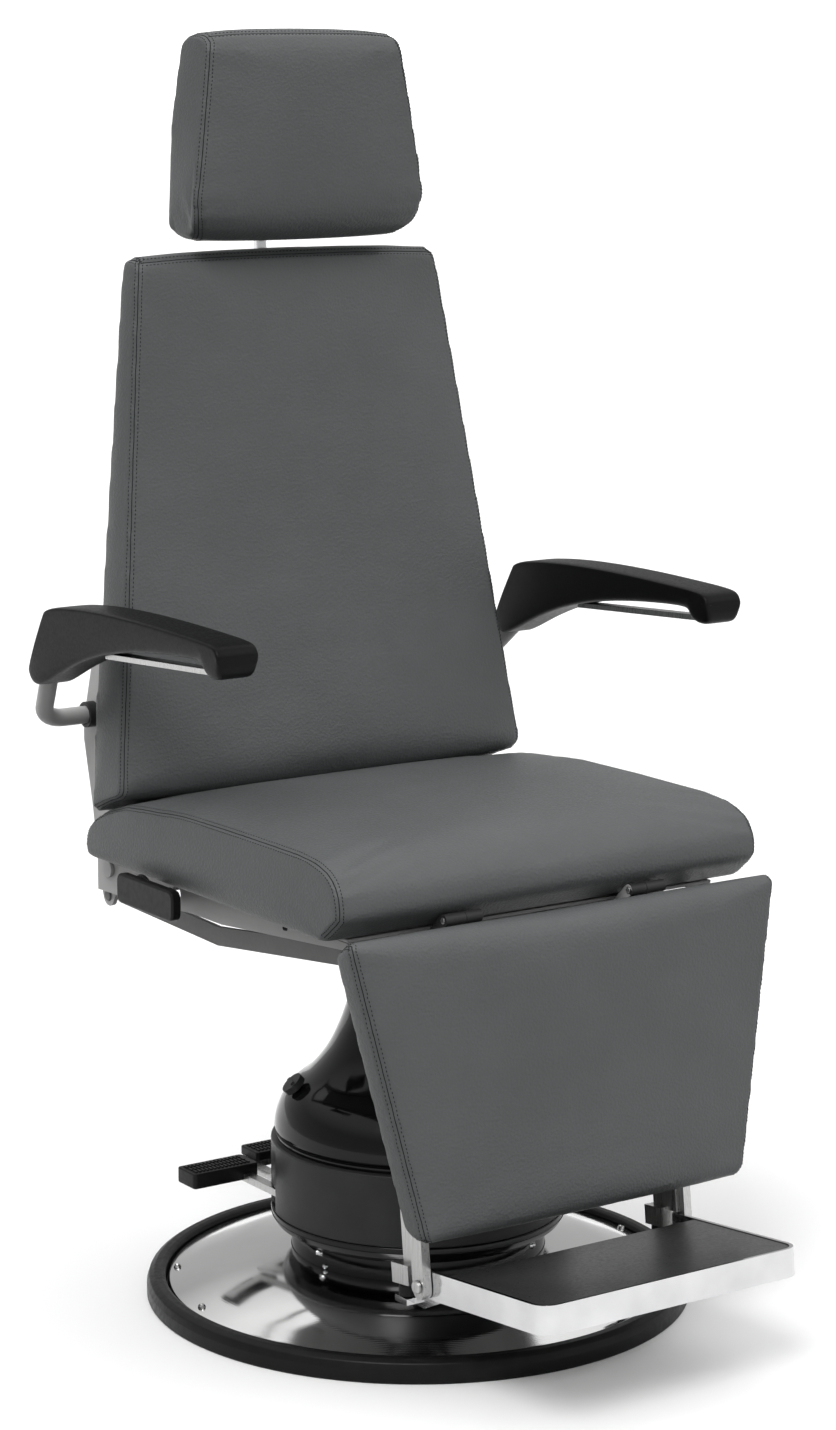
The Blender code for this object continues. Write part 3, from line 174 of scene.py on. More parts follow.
def gloss(made, value, low, high):
    """Drive the roughness between two values."""
    tree = made.node_tree
    span = tree.nodes.new("ShaderNodeMapRange")
    span.inputs["From Min"].default_value = 0.3
    span.inputs["From Max"].default_value = 0.7
    span.inputs["To Min"].default_value = low
    span.inputs["To Max"].default_value = high
    tree.links.new(value, span.inputs["Value"])
    tree.links.new(span.outputs["Result"], tree.nodes["Principled BSDF"].inputs["Roughness"])


def emboss(made, value, strength, distance):
    """Add a bump on top of any bump already there."""
    tree = made.node_tree
    normal = tree.nodes["Principled BSDF"].inputs["Normal"]
    bump = tree.nodes.new("ShaderNodeBump")
    bump.inputs["Strength"].default_value = strength
    bump.inputs["Distance"].default_value = distance
    if normal.is_linked:
        tree.links.new(normal.links[0].from_socket, bump.inputs["Normal"])
    tree.links.new(value, bump.inputs["Height"])
    tree.links.new(bump.outputs["Normal"], normal)


LEATHERETTE = finish("grey_leatherette", (0.098, 0.1025, 0.104), 0.5, Specular_IOR_Level=0.28)
tint(LEATHERETTE, pattern(LEATHERETTE, "ShaderNodeTexNoise", 7.0, Detail=6.0, Roughness=0.6),
     (0.090, 0.0942, 0.0956), (0.106, 0.1110, 0.1126))
gloss(LEATHERETTE, pattern(LEATHERETTE, "ShaderNodeTexNoise", 420.0, Detail=3.0), 0.40, 0.56)
emboss(LEATHERETTE, pattern(LEATHERETTE, "ShaderNodeTexVoronoi", 330.0, Randomness=1.0), 0.55, 0.0007)
emboss(LEATHERETTE, pattern(LEATHERETTE, "ShaderNodeTexNoise", 170.0, Detail=5.0, Roughness=0.65),
       0.20, 0.0006)

THREAD = finish("dark_thread", (0.010, 0.010, 0.011), 0.75, Specular_IOR_Level=0.15)
emboss(THREAD, pattern(THREAD, "ShaderNodeTexNoise", 2600.0), 0.3, 0.0002)
tint(THREAD, pattern(THREAD, "ShaderNodeTexNoise", 300.0), (0.007, 0.007, 0.008), (0.015, 0.015, 0.016))

GREY_PAINT = finish("grey_paint", (0.46, 0.457, 0.455), 0.4, Specular_IOR_Level=0.35)
tint(GREY_PAINT, pattern(GREY_PAINT, "ShaderNodeTexNoise", 12.0, Detail=5.0),
     (0.44, 0.437, 0.435), (0.48, 0.477, 0.475))
gloss(GREY_PAINT, pattern(GREY_PAINT, "ShaderNodeTexNoise", 240.0), 0.34, 0.46)
emboss(GREY_PAINT, pattern(GREY_PAINT, "ShaderNodeTexNoise", 520.0, Detail=1.0), 0.10, 0.0003)

# A darker copy of the grey paint for the link bars and the link shaft: painted shade for the shadow they lie
# in under the seat.
SHADED_GREY_PAINT = finish("grey_paint_painted_shade", (0.135, 0.134, 0.133), 0.42, Specular_IOR_Level=0.35)
tint(SHADED_GREY_PAINT, pattern(SHADED_GREY_PAINT, "ShaderNodeTexNoise", 14.0, Detail=5.0),
     (0.125, 0.124, 0.123), (0.146, 0.145, 0.144))
gloss(SHADED_GREY_PAINT, pattern(SHADED_GREY_PAINT, "ShaderNodeTexNoise", 240.0), 0.36, 0.48)
emboss(SHADED_GREY_PAINT, pattern(SHADED_GREY_PAINT, "ShaderNodeTexNoise", 520.0, Detail=1.0), 0.10, 0.0003)

BLACK_GLOSS = finish("gloss_black_shell", (0.004, 0.004, 0.0044), 0.1, Specular_IOR_Level=0.22)
tint(BLACK_GLOSS, pattern(BLACK_GLOSS, "ShaderNodeTexNoise", 18.0, Detail=4.0),
     (0.0034, 0.0034, 0.0037), (0.0048, 0.0048, 0.0052))
gloss(BLACK_GLOSS, pattern(BLACK_GLOSS, "ShaderNodeTexNoise", 60.0, Detail=6.0), 0.06, 0.14)
emboss(BLACK_GLOSS, pattern(BLACK_GLOSS, "ShaderNodeTexNoise", 34.0, Detail=1.0), 0.05, 0.0008)

BLACK_SATIN = finish("satin_black_shell", (0.028, 0.028, 0.0285), 0.4, Specular_IOR_Level=0.16)
tint(BLACK_SATIN, pattern(BLACK_SATIN, "ShaderNodeTexNoise", 30.0, Detail=5.0),
     (0.025, 0.025, 0.0255), (0.032, 0.032, 0.0325))
gloss(BLACK_SATIN, pattern(BLACK_SATIN, "ShaderNodeTexNoise", 500.0), 0.32, 0.44)
emboss(BLACK_SATIN, pattern(BLACK_SATIN, "ShaderNodeTexNoise", 1300.0, Detail=2.0), 0.16, 0.0003)

RUBBER = finish("black_rubber", (0.006, 0.006, 0.006), 0.4, Specular_IOR_Level=0.16)
tint(RUBBER, pattern(RUBBER, "ShaderNodeTexNoise", 45.0, Detail=6.0),
     (0.005, 0.005, 0.005), (0.0075, 0.0075, 0.0075))
gloss(RUBBER, pattern(RUBBER, "ShaderNodeTexNoise", 160.0, Detail=4.0), 0.30, 0.46)
emboss(RUBBER, pattern(RUBBER, "ShaderNodeTexNoise", 900.0), 0.12, 0.0003)

FOAM_SKIN = finish("moulded_foam_skin", (0.0035, 0.0035, 0.0038), 0.40, Specular_IOR_Level=0.11)
tint(FOAM_SKIN, pattern(FOAM_SKIN, "ShaderNodeTexNoise", 26.0, Detail=5.0),
     (0.0029, 0.0029, 0.0031), (0.0042, 0.0042, 0.0045))
gloss(FOAM_SKIN, pattern(FOAM_SKIN, "ShaderNodeTexNoise", 300.0, Detail=4.0), 0.34, 0.48)
emboss(FOAM_SKIN, pattern(FOAM_SKIN, "ShaderNodeTexVoronoi", 1100.0), 0.16, 0.0003)

STAINLESS = finish("spun_stainless", (0.70, 0.70, 0.70), 0.09, 1.0, Anisotropic=0.5)
gloss(STAINLESS, pattern(STAINLESS, "ShaderNodeTexNoise", 16.0, Detail=6.0), 0.06, 0.12)
tint(STAINLESS, pattern(STAINLESS, "ShaderNodeTexNoise", 9.0, Detail=4.0),
     (0.66, 0.66, 0.66), (0.74, 0.74, 0.735))
emboss(STAINLESS, pattern(STAINLESS, "ShaderNodeTexWave", 120.0, Distortion=0.0), 0.04, 0.0002)
for node in STAINLESS.node_tree.nodes:
    if node.type == "TEX_WAVE":
        node.wave_type = "RINGS"
        node.rings_direction = "Z"
turning = STAINLESS.node_tree.nodes.new("ShaderNodeTangent")
turning.direction_type = "RADIAL"
turning.axis = "Z"
STAINLESS.node_tree.links.new(turning.outputs["Tangent"],
                              STAINLESS.node_tree.nodes["Principled BSDF"].inputs["Tangent"])

STEEL = finish("brushed_steel", (0.46, 0.46, 0.455), 0.3, 1.0)
tint(STEEL, pattern(STEEL, "ShaderNodeTexNoise", 1100.0, (1.0, 1.0, 0.02), Detail=3.0),
     (0.40, 0.40, 0.395), (0.52, 0.52, 0.515))
gloss(STEEL, pattern(STEEL, "ShaderNodeTexNoise", 900.0, (1.0, 1.0, 0.03), Detail=4.0), 0.24, 0.38)
emboss(STEEL, pattern(STEEL, "ShaderNodeTexNoise", 1500.0, (1.0, 1.0, 0.02), Detail=2.0), 0.08, 0.0002)

ALUMINIUM = finish("polished_aluminium", (0.62, 0.62, 0.625), 0.09, 1.0)
tint(ALUMINIUM, pattern(ALUMINIUM, "ShaderNodeTexNoise", 22.0, Detail=5.0),
     (0.57, 0.57, 0.575), (0.67, 0.67, 0.675))
gloss(ALUMINIUM, pattern(ALUMINIUM, "ShaderNodeTexNoise", 700.0, (0.04, 0.04, 1.0), Detail=3.0), 0.07, 0.17)
emboss(ALUMINIUM, pattern(ALUMINIUM, "ShaderNodeTexNoise", 28.0, Detail=2.0), 0.08, 0.001)

CHROME = finish("chrome", (0.64, 0.64, 0.65), 0.06, 1.0)
gloss(CHROME, pattern(CHROME, "ShaderNodeTexNoise", 90.0, Detail=5.0), 0.04, 0.10)
tint(CHROME, pattern(CHROME, "ShaderNodeTexNoise", 14.0), (0.60, 0.60, 0.61), (0.68, 0.68, 0.69))

CAST_IRON = finish("painted_casting", (0.016, 0.016, 0.017), 0.55, Specular_IOR_Level=0.3)
tint(CAST_IRON, pattern(CAST_IRON, "ShaderNodeTexNoise", 80.0, Detail=6.0),
     (0.013, 0.013, 0.014), (0.020, 0.020, 0.021))
emboss(CAST_IRON, pattern(CAST_IRON, "ShaderNodeTexNoise", 420.0, Detail=5.0), 0.4, 0.0008)
gloss(CAST_IRON, pattern(CAST_IRON, "ShaderNodeTexNoise", 200.0), 0.45, 0.62)

MAT = finish("footrest_mat", (0.028, 0.028, 0.028), 0.34, Specular_IOR_Level=0.5)
tint(MAT, pattern(MAT, "ShaderNodeTexNoise", 40.0, Detail=6.0),
     (0.024, 0.024, 0.024), (0.034, 0.034, 0.034))
gloss(MAT, pattern(MAT, "ShaderNodeTexNoise", 260.0, Detail=5.0), 0.27, 0.40)
emboss(MAT, pattern(MAT, "ShaderNodeTexVoronoi", 800.0), 0.14, 0.0003)

LINING = finish("black_board_lining", (0.012, 0.012, 0.0125), 0.62, Specular_IOR_Level=0.25)
tint(LINING, pattern(LINING, "ShaderNodeTexNoise", 60.0, Detail=5.0),
     (0.010, 0.010, 0.0105), (0.015, 0.015, 0.0155))
emboss(LINING, pattern(LINING, "ShaderNodeTexVoronoi", 900.0), 0.3, 0.0004)
gloss(LINING, pattern(LINING, "ShaderNodeTexNoise", 500.0), 0.55, 0.70)

looks = {
    "cast_iron": CAST_IRON, "black_rubber": RUBBER, "stainless": STAINLESS, "black_paint": BLACK_GLOSS,
    "black_satin": BLACK_SATIN, "black_gloss": BLACK_GLOSS, "steel": STEEL, "chrome": CHROME,
    "grey_paint": GREY_PAINT, "leatherette": LEATHERETTE, "black_lining": LINING, "black_foam": FOAM_SKIN,
    "aluminium": ALUMINIUM}


# Making pieces
def placed(name, bm):
    """Turn a bmesh into an object of the scene."""
    mesh = bpy.data.meshes.new(name)
    bm.to_mesh(mesh)
    bm.free()
    made = bpy.data.objects.new(name, mesh)
    scene.collection.objects.link(made)
    return made


def piece(name, bm, look, node, replaced=(), bend=32.0):
    """Turn a bmesh into a piece that rides with a node's body, smooth where it bends gently."""
    bm.normal_update()
    for face in bm.faces:
        face.smooth = True
    for edge in bm.edges:
        edge.smooth = len(edge.link_faces) == 2 and edge.calc_face_angle() < radians(bend)
    made = placed(name, bm)
    for one in look if isinstance(look, (list, tuple)) else (look,):
        made.data.materials.append(one)
    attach(made, home[node])
    if replaced:
        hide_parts(*replaced)
    return made


def baked(made):
    """Return a new mesh of an object with its modifiers applied."""
    graph = bpy.context.evaluated_depsgraph_get()
    return bpy.data.meshes.new_from_object(made.evaluated_get(graph))


def settle(made):
    """Apply an object's modifiers."""
    mesh = baked(made)
    made.modifiers.clear()
    old, made.data = made.data, mesh
    bpy.data.meshes.remove(old)


def merged_copy(node):
    """Return a bmesh copy of a node with its loose triangles joined."""
    bm = bmesh.new()
    bm.from_mesh(frame["nodes"][node].data)
    bmesh.ops.remove_doubles(bm, verts=bm.verts[:], dist=2e-6)
    return bm


def eased(made, width, segments=2):
    """Ease the sharp edges of a piece."""
    edges = made.modifiers.new("eased_edges", "BEVEL")
    edges.width = width
    edges.segments = segments
    edges.limit_method = "ANGLE"
    edges.angle_limit = radians(38.0)
    edges.harden_normals = True
    return made


def dressed(node, look=None, width=0.0007, second=None, where=None):
    """Stand for a rigid node with a joined copy that has eased edges and, on some faces, a second finish."""
    bm = merged_copy(node)
    bmesh.ops.dissolve_limit(bm, angle_limit=radians(0.4), verts=bm.verts[:], edges=bm.edges[:])
    first = look or looks[slots[node]]
    if second:
        for face in bm.faces:
            face.material_index = int(where(face.calc_center_median()))
    finishes = [first, second] if second else first
    return eased(piece(node + "_finished", bm, finishes, node, (node,)), width)


def filleted(points, radius, steps=5, closed=False):
    """Return points with their corners rounded, as far as their sides allow."""
    spots = [Vector(point) for point in points]
    made = []
    for i, spot in enumerate(spots):
        if not closed and i in (0, len(spots) - 1):
            made.append(spot)
            continue
        back = spots[i - 1] - spot
        on = spots[(i + 1) % len(spots)] - spot
        turn = back.angle(on)
        if turn > radians(176.0):
            made.append(spot)
            continue
        reach = min(radius / tan(turn / 2.0), 0.48 * back.length, 0.48 * on.length)
        first = spot + back.normalized() * reach
        last = spot + on.normalized() * reach
        for step in range(steps + 1):
            share = step / steps
            made.append(first * (1 - share) ** 2 + spot * 2 * share * (1 - share) + last * share ** 2)
    return made


def curve_through(points, gap, even=0):
    """Return points on a smooth curve through the given ones, about a gap apart or evenly many a span."""
    spots = [Vector(point) for point in points]
    spots = [spots[0] * 2 - spots[1]] + spots + [spots[-1] * 2 - spots[-2]]
    made = []
    for a, b, c, d in zip(spots, spots[1:], spots[2:], spots[3:]):
        count = even or max(1, round((c - b).length / gap))
        for step in range(count):
            t = step / count
            made.append(0.5 * (b * 2 + (c - a) * t + (a * 2 - b * 5 + c * 4 - d) * t * t
                               + (b * 3 - a - c * 3 + d) * t * t * t))
    made.append(spots[-2])
    return made


def spun(bm, outline, steps=144, closed=True):
    """Spin an outline of (radius, height) round the column's axis."""
    rim = [bm.verts.new((point[0], 0.0, point[1])) for point in outline]
    pairs = list(zip(rim, rim[1:])) + ([(rim[-1], rim[0])] if closed else [])
    wire = [bm.edges.new(pair) for pair in pairs]
    bmesh.ops.spin(bm, geom=rim + wire, cent=(0.0, 0.0, 0.0), axis=(0.0, 0.0, 1.0),
                   dvec=(0.0, 0.0, 0.0), angle=2.0 * pi, steps=steps, use_merge=True)
    bmesh.ops.remove_doubles(bm, verts=bm.verts[:], dist=1e-6)
    bmesh.ops.recalc_face_normals(bm, faces=bm.faces[:])
    return bm


def slab(bm, outline, vector):
    """Extrude a closed outline of 3D points along a vector."""
    face = bm.faces.new([bm.verts.new(point) for point in outline])
    grown = bmesh.ops.extrude_face_region(bm, geom=[face])["geom"]
    raised = [item for item in grown if isinstance(item, bmesh.types.BMVert)]
    bmesh.ops.translate(bm, vec=vector, verts=raised)
    bmesh.ops.recalc_face_normals(bm, faces=bm.faces[:])
    return bm


def aim(spot, out):
    """Return a matrix that puts local Z along a direction at a spot."""
    return Matrix.Translation(Vector(spot)) @ Vector(out).to_track_quat("Z", "Y").to_matrix().to_4x4()


def run_on(bm, ring, vector):
    """Extrude a ring of edges along a vector and return the new ring."""
    grown = bmesh.ops.extrude_edge_only(bm, edges=ring)["geom"]
    moved = [item for item in grown if isinstance(item, bmesh.types.BMVert)]
    bmesh.ops.translate(bm, vec=vector, verts=moved)
    return [item for item in grown if isinstance(item, bmesh.types.BMEdge)]


def socket_screw(bm, seat, radius, height):
    """Add a button-head screw with a sunk round socket."""
    made = bmesh.ops.create_cone(bm, cap_ends=True, segments=24, radius1=radius, radius2=radius * 0.72,
                                 depth=height, matrix=seat @ Matrix.Translation((0.0, 0.0, height / 2.0)))
    ends = [face for face in bm.faces if set(face.verts) <= set(made["verts"]) and len(face.verts) > 4]
    top = max(ends, key=lambda face: (seat.inverted() @ face.calc_center_median()).z)
    bmesh.ops.inset_region(bm, faces=[top], thickness=radius * 0.26)
    bmesh.ops.translate(bm, vec=seat.to_3x3() @ Vector((0.0, 0.0, -height * 0.6)), verts=top.verts[:])


# Upholstery
def swollen(pad, held_by, swell):
    """Blow a pad up by cloth pressure between its seams, no further than a limit."""
    group = pad.vertex_groups.new(name="held")
    group.add([vert.index for vert in pad.data.vertices if held_by(vert)], 1.0, "REPLACE")
    cloth = pad.modifiers.new("swell", "CLOTH")
    cloth.settings.quality = 4
    cloth.settings.mass = 0.3
    cloth.settings.use_pressure = True
    cloth.settings.uniform_pressure_force = 4.0
    cloth.settings.vertex_group_mass = "held"
    cloth.settings.effector_weights.gravity = 0.0
    cloth.collision_settings.use_collision = False
    cloth.point_cache.frame_start = 1
    cloth.point_cache.frame_end = SWELL_FRAMES
    for number in range(1, SWELL_FRAMES + 1):
        scene.frame_set(number)
    blown = baked(pad)
    moves = [new.co - old.co for new, old in zip(blown.vertices, pad.data.vertices)]
    most = max(move.length for move in moves)
    share = min(1.0, swell / max(most, 1e-9))
    pad.modifiers.clear()
    pad.vertex_groups.clear()
    for vert, move in zip(pad.data.vertices, moves):
        vert.co += move * share
    bpy.data.meshes.remove(blown)
    scene.frame_set(1)


def on_surface(tree, guide, gap):
    """Lay a guide line on a surface along rays into the pad and return (spot, normal) along it."""
    longest = max((b[0] - a[0]).length for a, b in zip(guide, guide[1:]))
    steps = max(1, round(longest / gap))
    starts = curve_through([start for start, _ in guide], gap, steps)
    ends = curve_through([end for _, end in guide], gap, steps)
    hits = [tree.ray_cast(start, end - start) for start, end in zip(starts, ends)]
    return [(hit[0], hit[1]) for hit in hits if hit[0] is not None]


def cushion(node, name, rest, guides, swell, proud, voxel=0.0055):
    """Make a sewn pad from a node's solid: remeshed, swollen, with sunk seams and twin stitching.

    rest points to the side that lies on a board, and proud is how far the sides stand off the solid.
    """
    pad = piece(name, merged_copy(node), LEATHERETTE, node, (node,))
    grid = pad.modifiers.new("grid", "REMESH")
    grid.mode = "VOXEL"
    grid.voxel_size = voxel
    settle(pad)
    bm = bmesh.new()
    bm.from_mesh(pad.data)
    bmesh.ops.smooth_vert(bm, verts=bm.verts[:], factor=0.5,
                          use_axis_x=True, use_axis_y=True, use_axis_z=True)
    bm.normal_update()
    rest = Vector(rest).normalized()
    for vert, out in [(vert, vert.normal.copy()) for vert in bm.verts]:
        out.z = 0.0
        vert.co += (out - rest * max(0.0, out.dot(rest))) * proud
    tree = BVHTree.FromBMesh(bm)
    seams = [on_surface(tree, guide, SEAM_STEP) for guide in guides]
    near = KDTree(sum(len(seam) for seam in seams))
    for i, (spot, _) in enumerate(item for seam in seams for item in seam):
        near.insert(spot, i)
    near.balance()
    bm.to_mesh(pad.data)
    bm.free()
    swollen(pad, lambda vert: vert.normal.dot(rest) > 0.75 or near.find(vert.co)[2] < SEAM_HOLD, swell)
    fine = pad.modifiers.new("fine", "SUBSURF")
    fine.levels = fine.render_levels = 1
    settle(pad)
    bm = bmesh.new()
    bm.from_mesh(pad.data)
    bm.normal_update()
    sunk = []
    for vert in bm.verts:
        spot, _, away = near.find(vert.co)
        if away < SEAM_REACH:
            groove = max(0.0, 1.0 - (away / GROOVE_WIDTH) ** 2) ** 2
            welt = max(0.0, 1.0 - ((away - WELT_AWAY) / GROOVE_WIDTH) ** 2) ** 2
            pucker = 1.0 + 0.5 * noise.noise(spot * 120.0)
            sunk.append((vert, vert.normal * (WELT_HEIGHT * welt - GROOVE_DEPTH * groove * pucker)))
    for vert, move in sunk:
        vert.co += move
    bm.normal_update()
    tree = BVHTree.FromBMesh(bm)
    for face in bm.faces:
        face.smooth = True
    bm.to_mesh(pad.data)
    bm.free()

    sewing = bmesh.new()
    stitch = bmesh.new()
    bmesh.ops.create_uvsphere(stitch, u_segments=6, v_segments=4, radius=1.0)
    thread = bpy.data.meshes.new(name + "_stitch")
    stitch.to_mesh(thread)
    stitch.free()
    for seam in seams:
        line = bpy.data.curves.new(name + "_seam", "CURVE")
        line.dimensions = "3D"
        line.bevel_depth = SEAM_THREAD
        line.bevel_resolution = 1
        spline = line.splines.new("POLY")
        spline.points.add(len(seam) - 1)
        for point, (spot, _) in zip(spline.points, seam):
            point.co = (*tree.find_nearest(spot)[0], 1.0)
        wire = bpy.data.objects.new(name + "_seam", line)
        scene.collection.objects.link(wire)
        mesh = baked(wire)
        sewing.from_mesh(mesh)
        bpy.data.meshes.remove(mesh)
        bpy.data.objects.remove(wire)
        for side in (-1.0, 1.0):
            row = []
            for (a, _), (spot, normal), (b, _) in zip(seam, seam[1:], seam[2:]):
                along = (b - a).normalized()
                hit = tree.find_nearest(spot + normal.cross(along) * side * STITCH_AWAY)
                row.append((hit[0], hit[1], along))
            gone = 0.0
            for (before, _, _), (spot, normal, along) in zip(row, row[1:]):
                gone += (spot - before).length
                if gone < STITCH_PITCH:
                    continue
                gone = 0.0
                along = (along - normal * along.dot(normal)).normalized()
                turn = Matrix((along, normal.cross(along), normal)).transposed().to_4x4()
                seat = Matrix.Translation(spot + normal * STITCH_LIFT) @ turn
                one = thread.copy()
                one.transform(seat @ Matrix.Diagonal((*STITCH_SIZE, 1.0)))
                sewing.from_mesh(one)
                bpy.data.meshes.remove(one)
    bpy.data.meshes.remove(thread)
    piece(name + "_stitching", sewing, THREAD, node, bend=80.0)
    return pad


def both(points, half, turn=Matrix.Identity(4)):
    """Return guides for the two side seams, from the pad's (y, z) outline.

    Each guide is a list of pairs: a spot outside the pad's edge and one inside it.
    """
    count = len(points)
    middle = Vector((sum(y for y, _ in points) / count, sum(z for _, z in points) / count))
    guides = []
    for side in (-1.0, 1.0):
        guide = []
        for i, (y, z) in enumerate(points):
            before, after = Vector(points[max(0, i - 1)]), Vector(points[min(count - 1, i + 1)])
            inward = (after - before).orthogonal().normalized()
            if inward.dot(middle - Vector((y, z))) < 0.0:
                inward = -inward
            edge = half(z)
            outside = Vector((side * (edge + 0.020), y - inward.x * 0.020, z - inward.y * 0.020))
            inside = Vector((side * (edge - 0.040), y + inward.x * 0.040, z + inward.y * 0.040))
            guide.append((turn @ outside, turn @ inside))
        guides.append(guide)
    return guides


def across(y, z, half, turn=Matrix.Identity(4)):
    """Return a guide for the seam along the top front edge of a back or headrest."""
    return [(turn @ Vector((half * share, y - 0.020, z + 0.020)),
             turn @ Vector((half * share, y + 0.020, z - 0.020)))
            for share in (-1.0, -0.5, 0.0, 0.5, 1.0)]


def between(z, low, high, value_low, value_high):
    """Return a value that runs straight between two levels and holds beyond them."""
    share = min(1.0, max(0.0, (z - low) / (high - low)))
    return value_low + (value_high - value_low) * share


def leg_point(out, down):
    """Return (y, z) a distance out behind the leg pad's rear plane and down along it."""
    return (LEG_TOP[0] + out * cos(LEG_LEAN) - down * sin(LEG_LEAN),
            LEG_TOP[1] - out * sin(LEG_LEAN) - down * cos(LEG_LEAN))


seat_edge = [
    (0.2600, 0.486), (0.2575, 0.503), (0.2470, 0.5175), (0.215, 0.534), (0.170, 0.548), (0.120, 0.553),
    (0.050, 0.559), (-0.050, 0.5605), (-0.170, 0.560), (-0.212, 0.5555), (-0.236, 0.545), (-0.2485, 0.527),
    (-0.251, 0.507), (-0.246, 0.4975), (-0.222, 0.479)]
cushion("seat_cushion", "seat_upholstery", (0.0, 0.0, -1.0), both(seat_edge, lambda z: SEAT_HALF),
        swell=0.008, proud=0.002)


def back_half(z):
    """Return the half width of the back at a height."""
    return between(z, 0.565, 1.127, BACK_LOW, BACK_HIGH)


back_edge = [
    (0.272, 1.1285), (0.258, 1.1275), (0.249, 1.118), (0.233, 1.000), (0.2155, 0.865), (0.197, 0.725),
    (0.183, 0.612), (0.1765, 0.570), (0.178, 0.557), (0.1875, 0.5495), (0.214, 0.540), (0.237, 0.530)]
cushion("back_cushion", "back_upholstery", (0.0, 1.0, -0.066),
        both(back_edge, back_half) + [across(0.252, 1.124, 0.190)], swell=0.011, proud=0.0015)


def head_half(z):
    """Return the half width of the headrest at a height, with its rounded lower corners."""
    if z < 1.197:
        drop = min(1.0, (1.197 - z) / 0.052)
        return HEAD_LOW - 0.028 * (1.0 - (1.0 - drop * drop) ** 0.5)
    return between(z, 1.197, 1.360, HEAD_LOW, HEAD_HIGH)


head_edge = [
    (0.262, 1.370), (0.240, 1.371), (0.2265, 1.366), (0.220, 1.354), (0.2125, 1.300), (0.205, 1.235),
    (0.2025, 1.197), (0.205, 1.177), (0.214, 1.161), (0.229, 1.151), (0.248, 1.147), (0.266, 1.150)]
head_turn = (Matrix.Translation((0.0, *HEAD_PIVOT)) @ Matrix.Rotation(HEAD_LEAN, 4, "X")
             @ Matrix.Translation((0.0, -HEAD_PIVOT[0], -HEAD_PIVOT[1])))
cushion("head_cushion", "head_upholstery", (0.0, 1.0, 0.0),
        both(head_edge, head_half, head_turn) + [across(0.2300, 1.3695, 0.118, head_turn)],
        swell=0.010, proud=0.0045, voxel=0.0045)


def leg_half(z):
    """Return the half width of the legrest at a height."""
    return between(z, leg_point(0.0, LEG_LENGTH)[1], LEG_TOP[1] + 0.012, LEG_LOW, LEG_HIGH)


leg_edge = [leg_point(out, down) for out, down in (
    (-0.012, -0.004), (-LEG_PAD + 0.006, -0.0115), (-LEG_PAD, -0.004), (-LEG_PAD, 0.020), (-LEG_PAD, 0.120),
    (-LEG_PAD, 0.220), (-LEG_PAD, LEG_LENGTH - 0.008), (-LEG_PAD + 0.007, LEG_LENGTH),
    (-0.018, LEG_LENGTH - 0.001))]
cushion("leg_cushion", "leg_upholstery", (0.0, 1.0, -0.115), both(leg_edge, leg_half),
        swell=0.008, proud=0.003, voxel=0.005)

# Armrests: a moulded foam arch on a bent tube, with a flat bar across the arch
arch = [
    ((0.2195, 0.7590), (0.2640, 0.6875)), ((0.2190, 0.7600), (0.2636, 0.6860)),
    ((0.2120, 0.7630), (0.2590, 0.6780)), ((0.1980, 0.7658), (0.2450, 0.6747)),
    ((0.1650, 0.7694), (0.2080, 0.6930)), ((0.1250, 0.7722), (0.1580, 0.7145)),
    ((0.0800, 0.7736), (0.1020, 0.7306)), ((0.0300, 0.7740), (0.0420, 0.7412)),
    ((-0.0200, 0.7734), (-0.0200, 0.7475)), ((-0.0680, 0.7720), (-0.0710, 0.7508)),
    ((-0.0940, 0.7711), (-0.0960, 0.7508)), ((-0.1010, 0.7708), (-0.1025, 0.7460)),
    ((-0.1050, 0.7705), (-0.1065, 0.7395)), ((-0.1120, 0.7701), (-0.1130, 0.7362)),
    ((-0.1240, 0.7690), (-0.1260, 0.7354)), ((-0.1305, 0.7665), (-0.1325, 0.7385)),
    ((-0.1338, 0.7600), (-0.1344, 0.7460)), ((-0.1340, 0.7580), (-0.1345, 0.7480))]
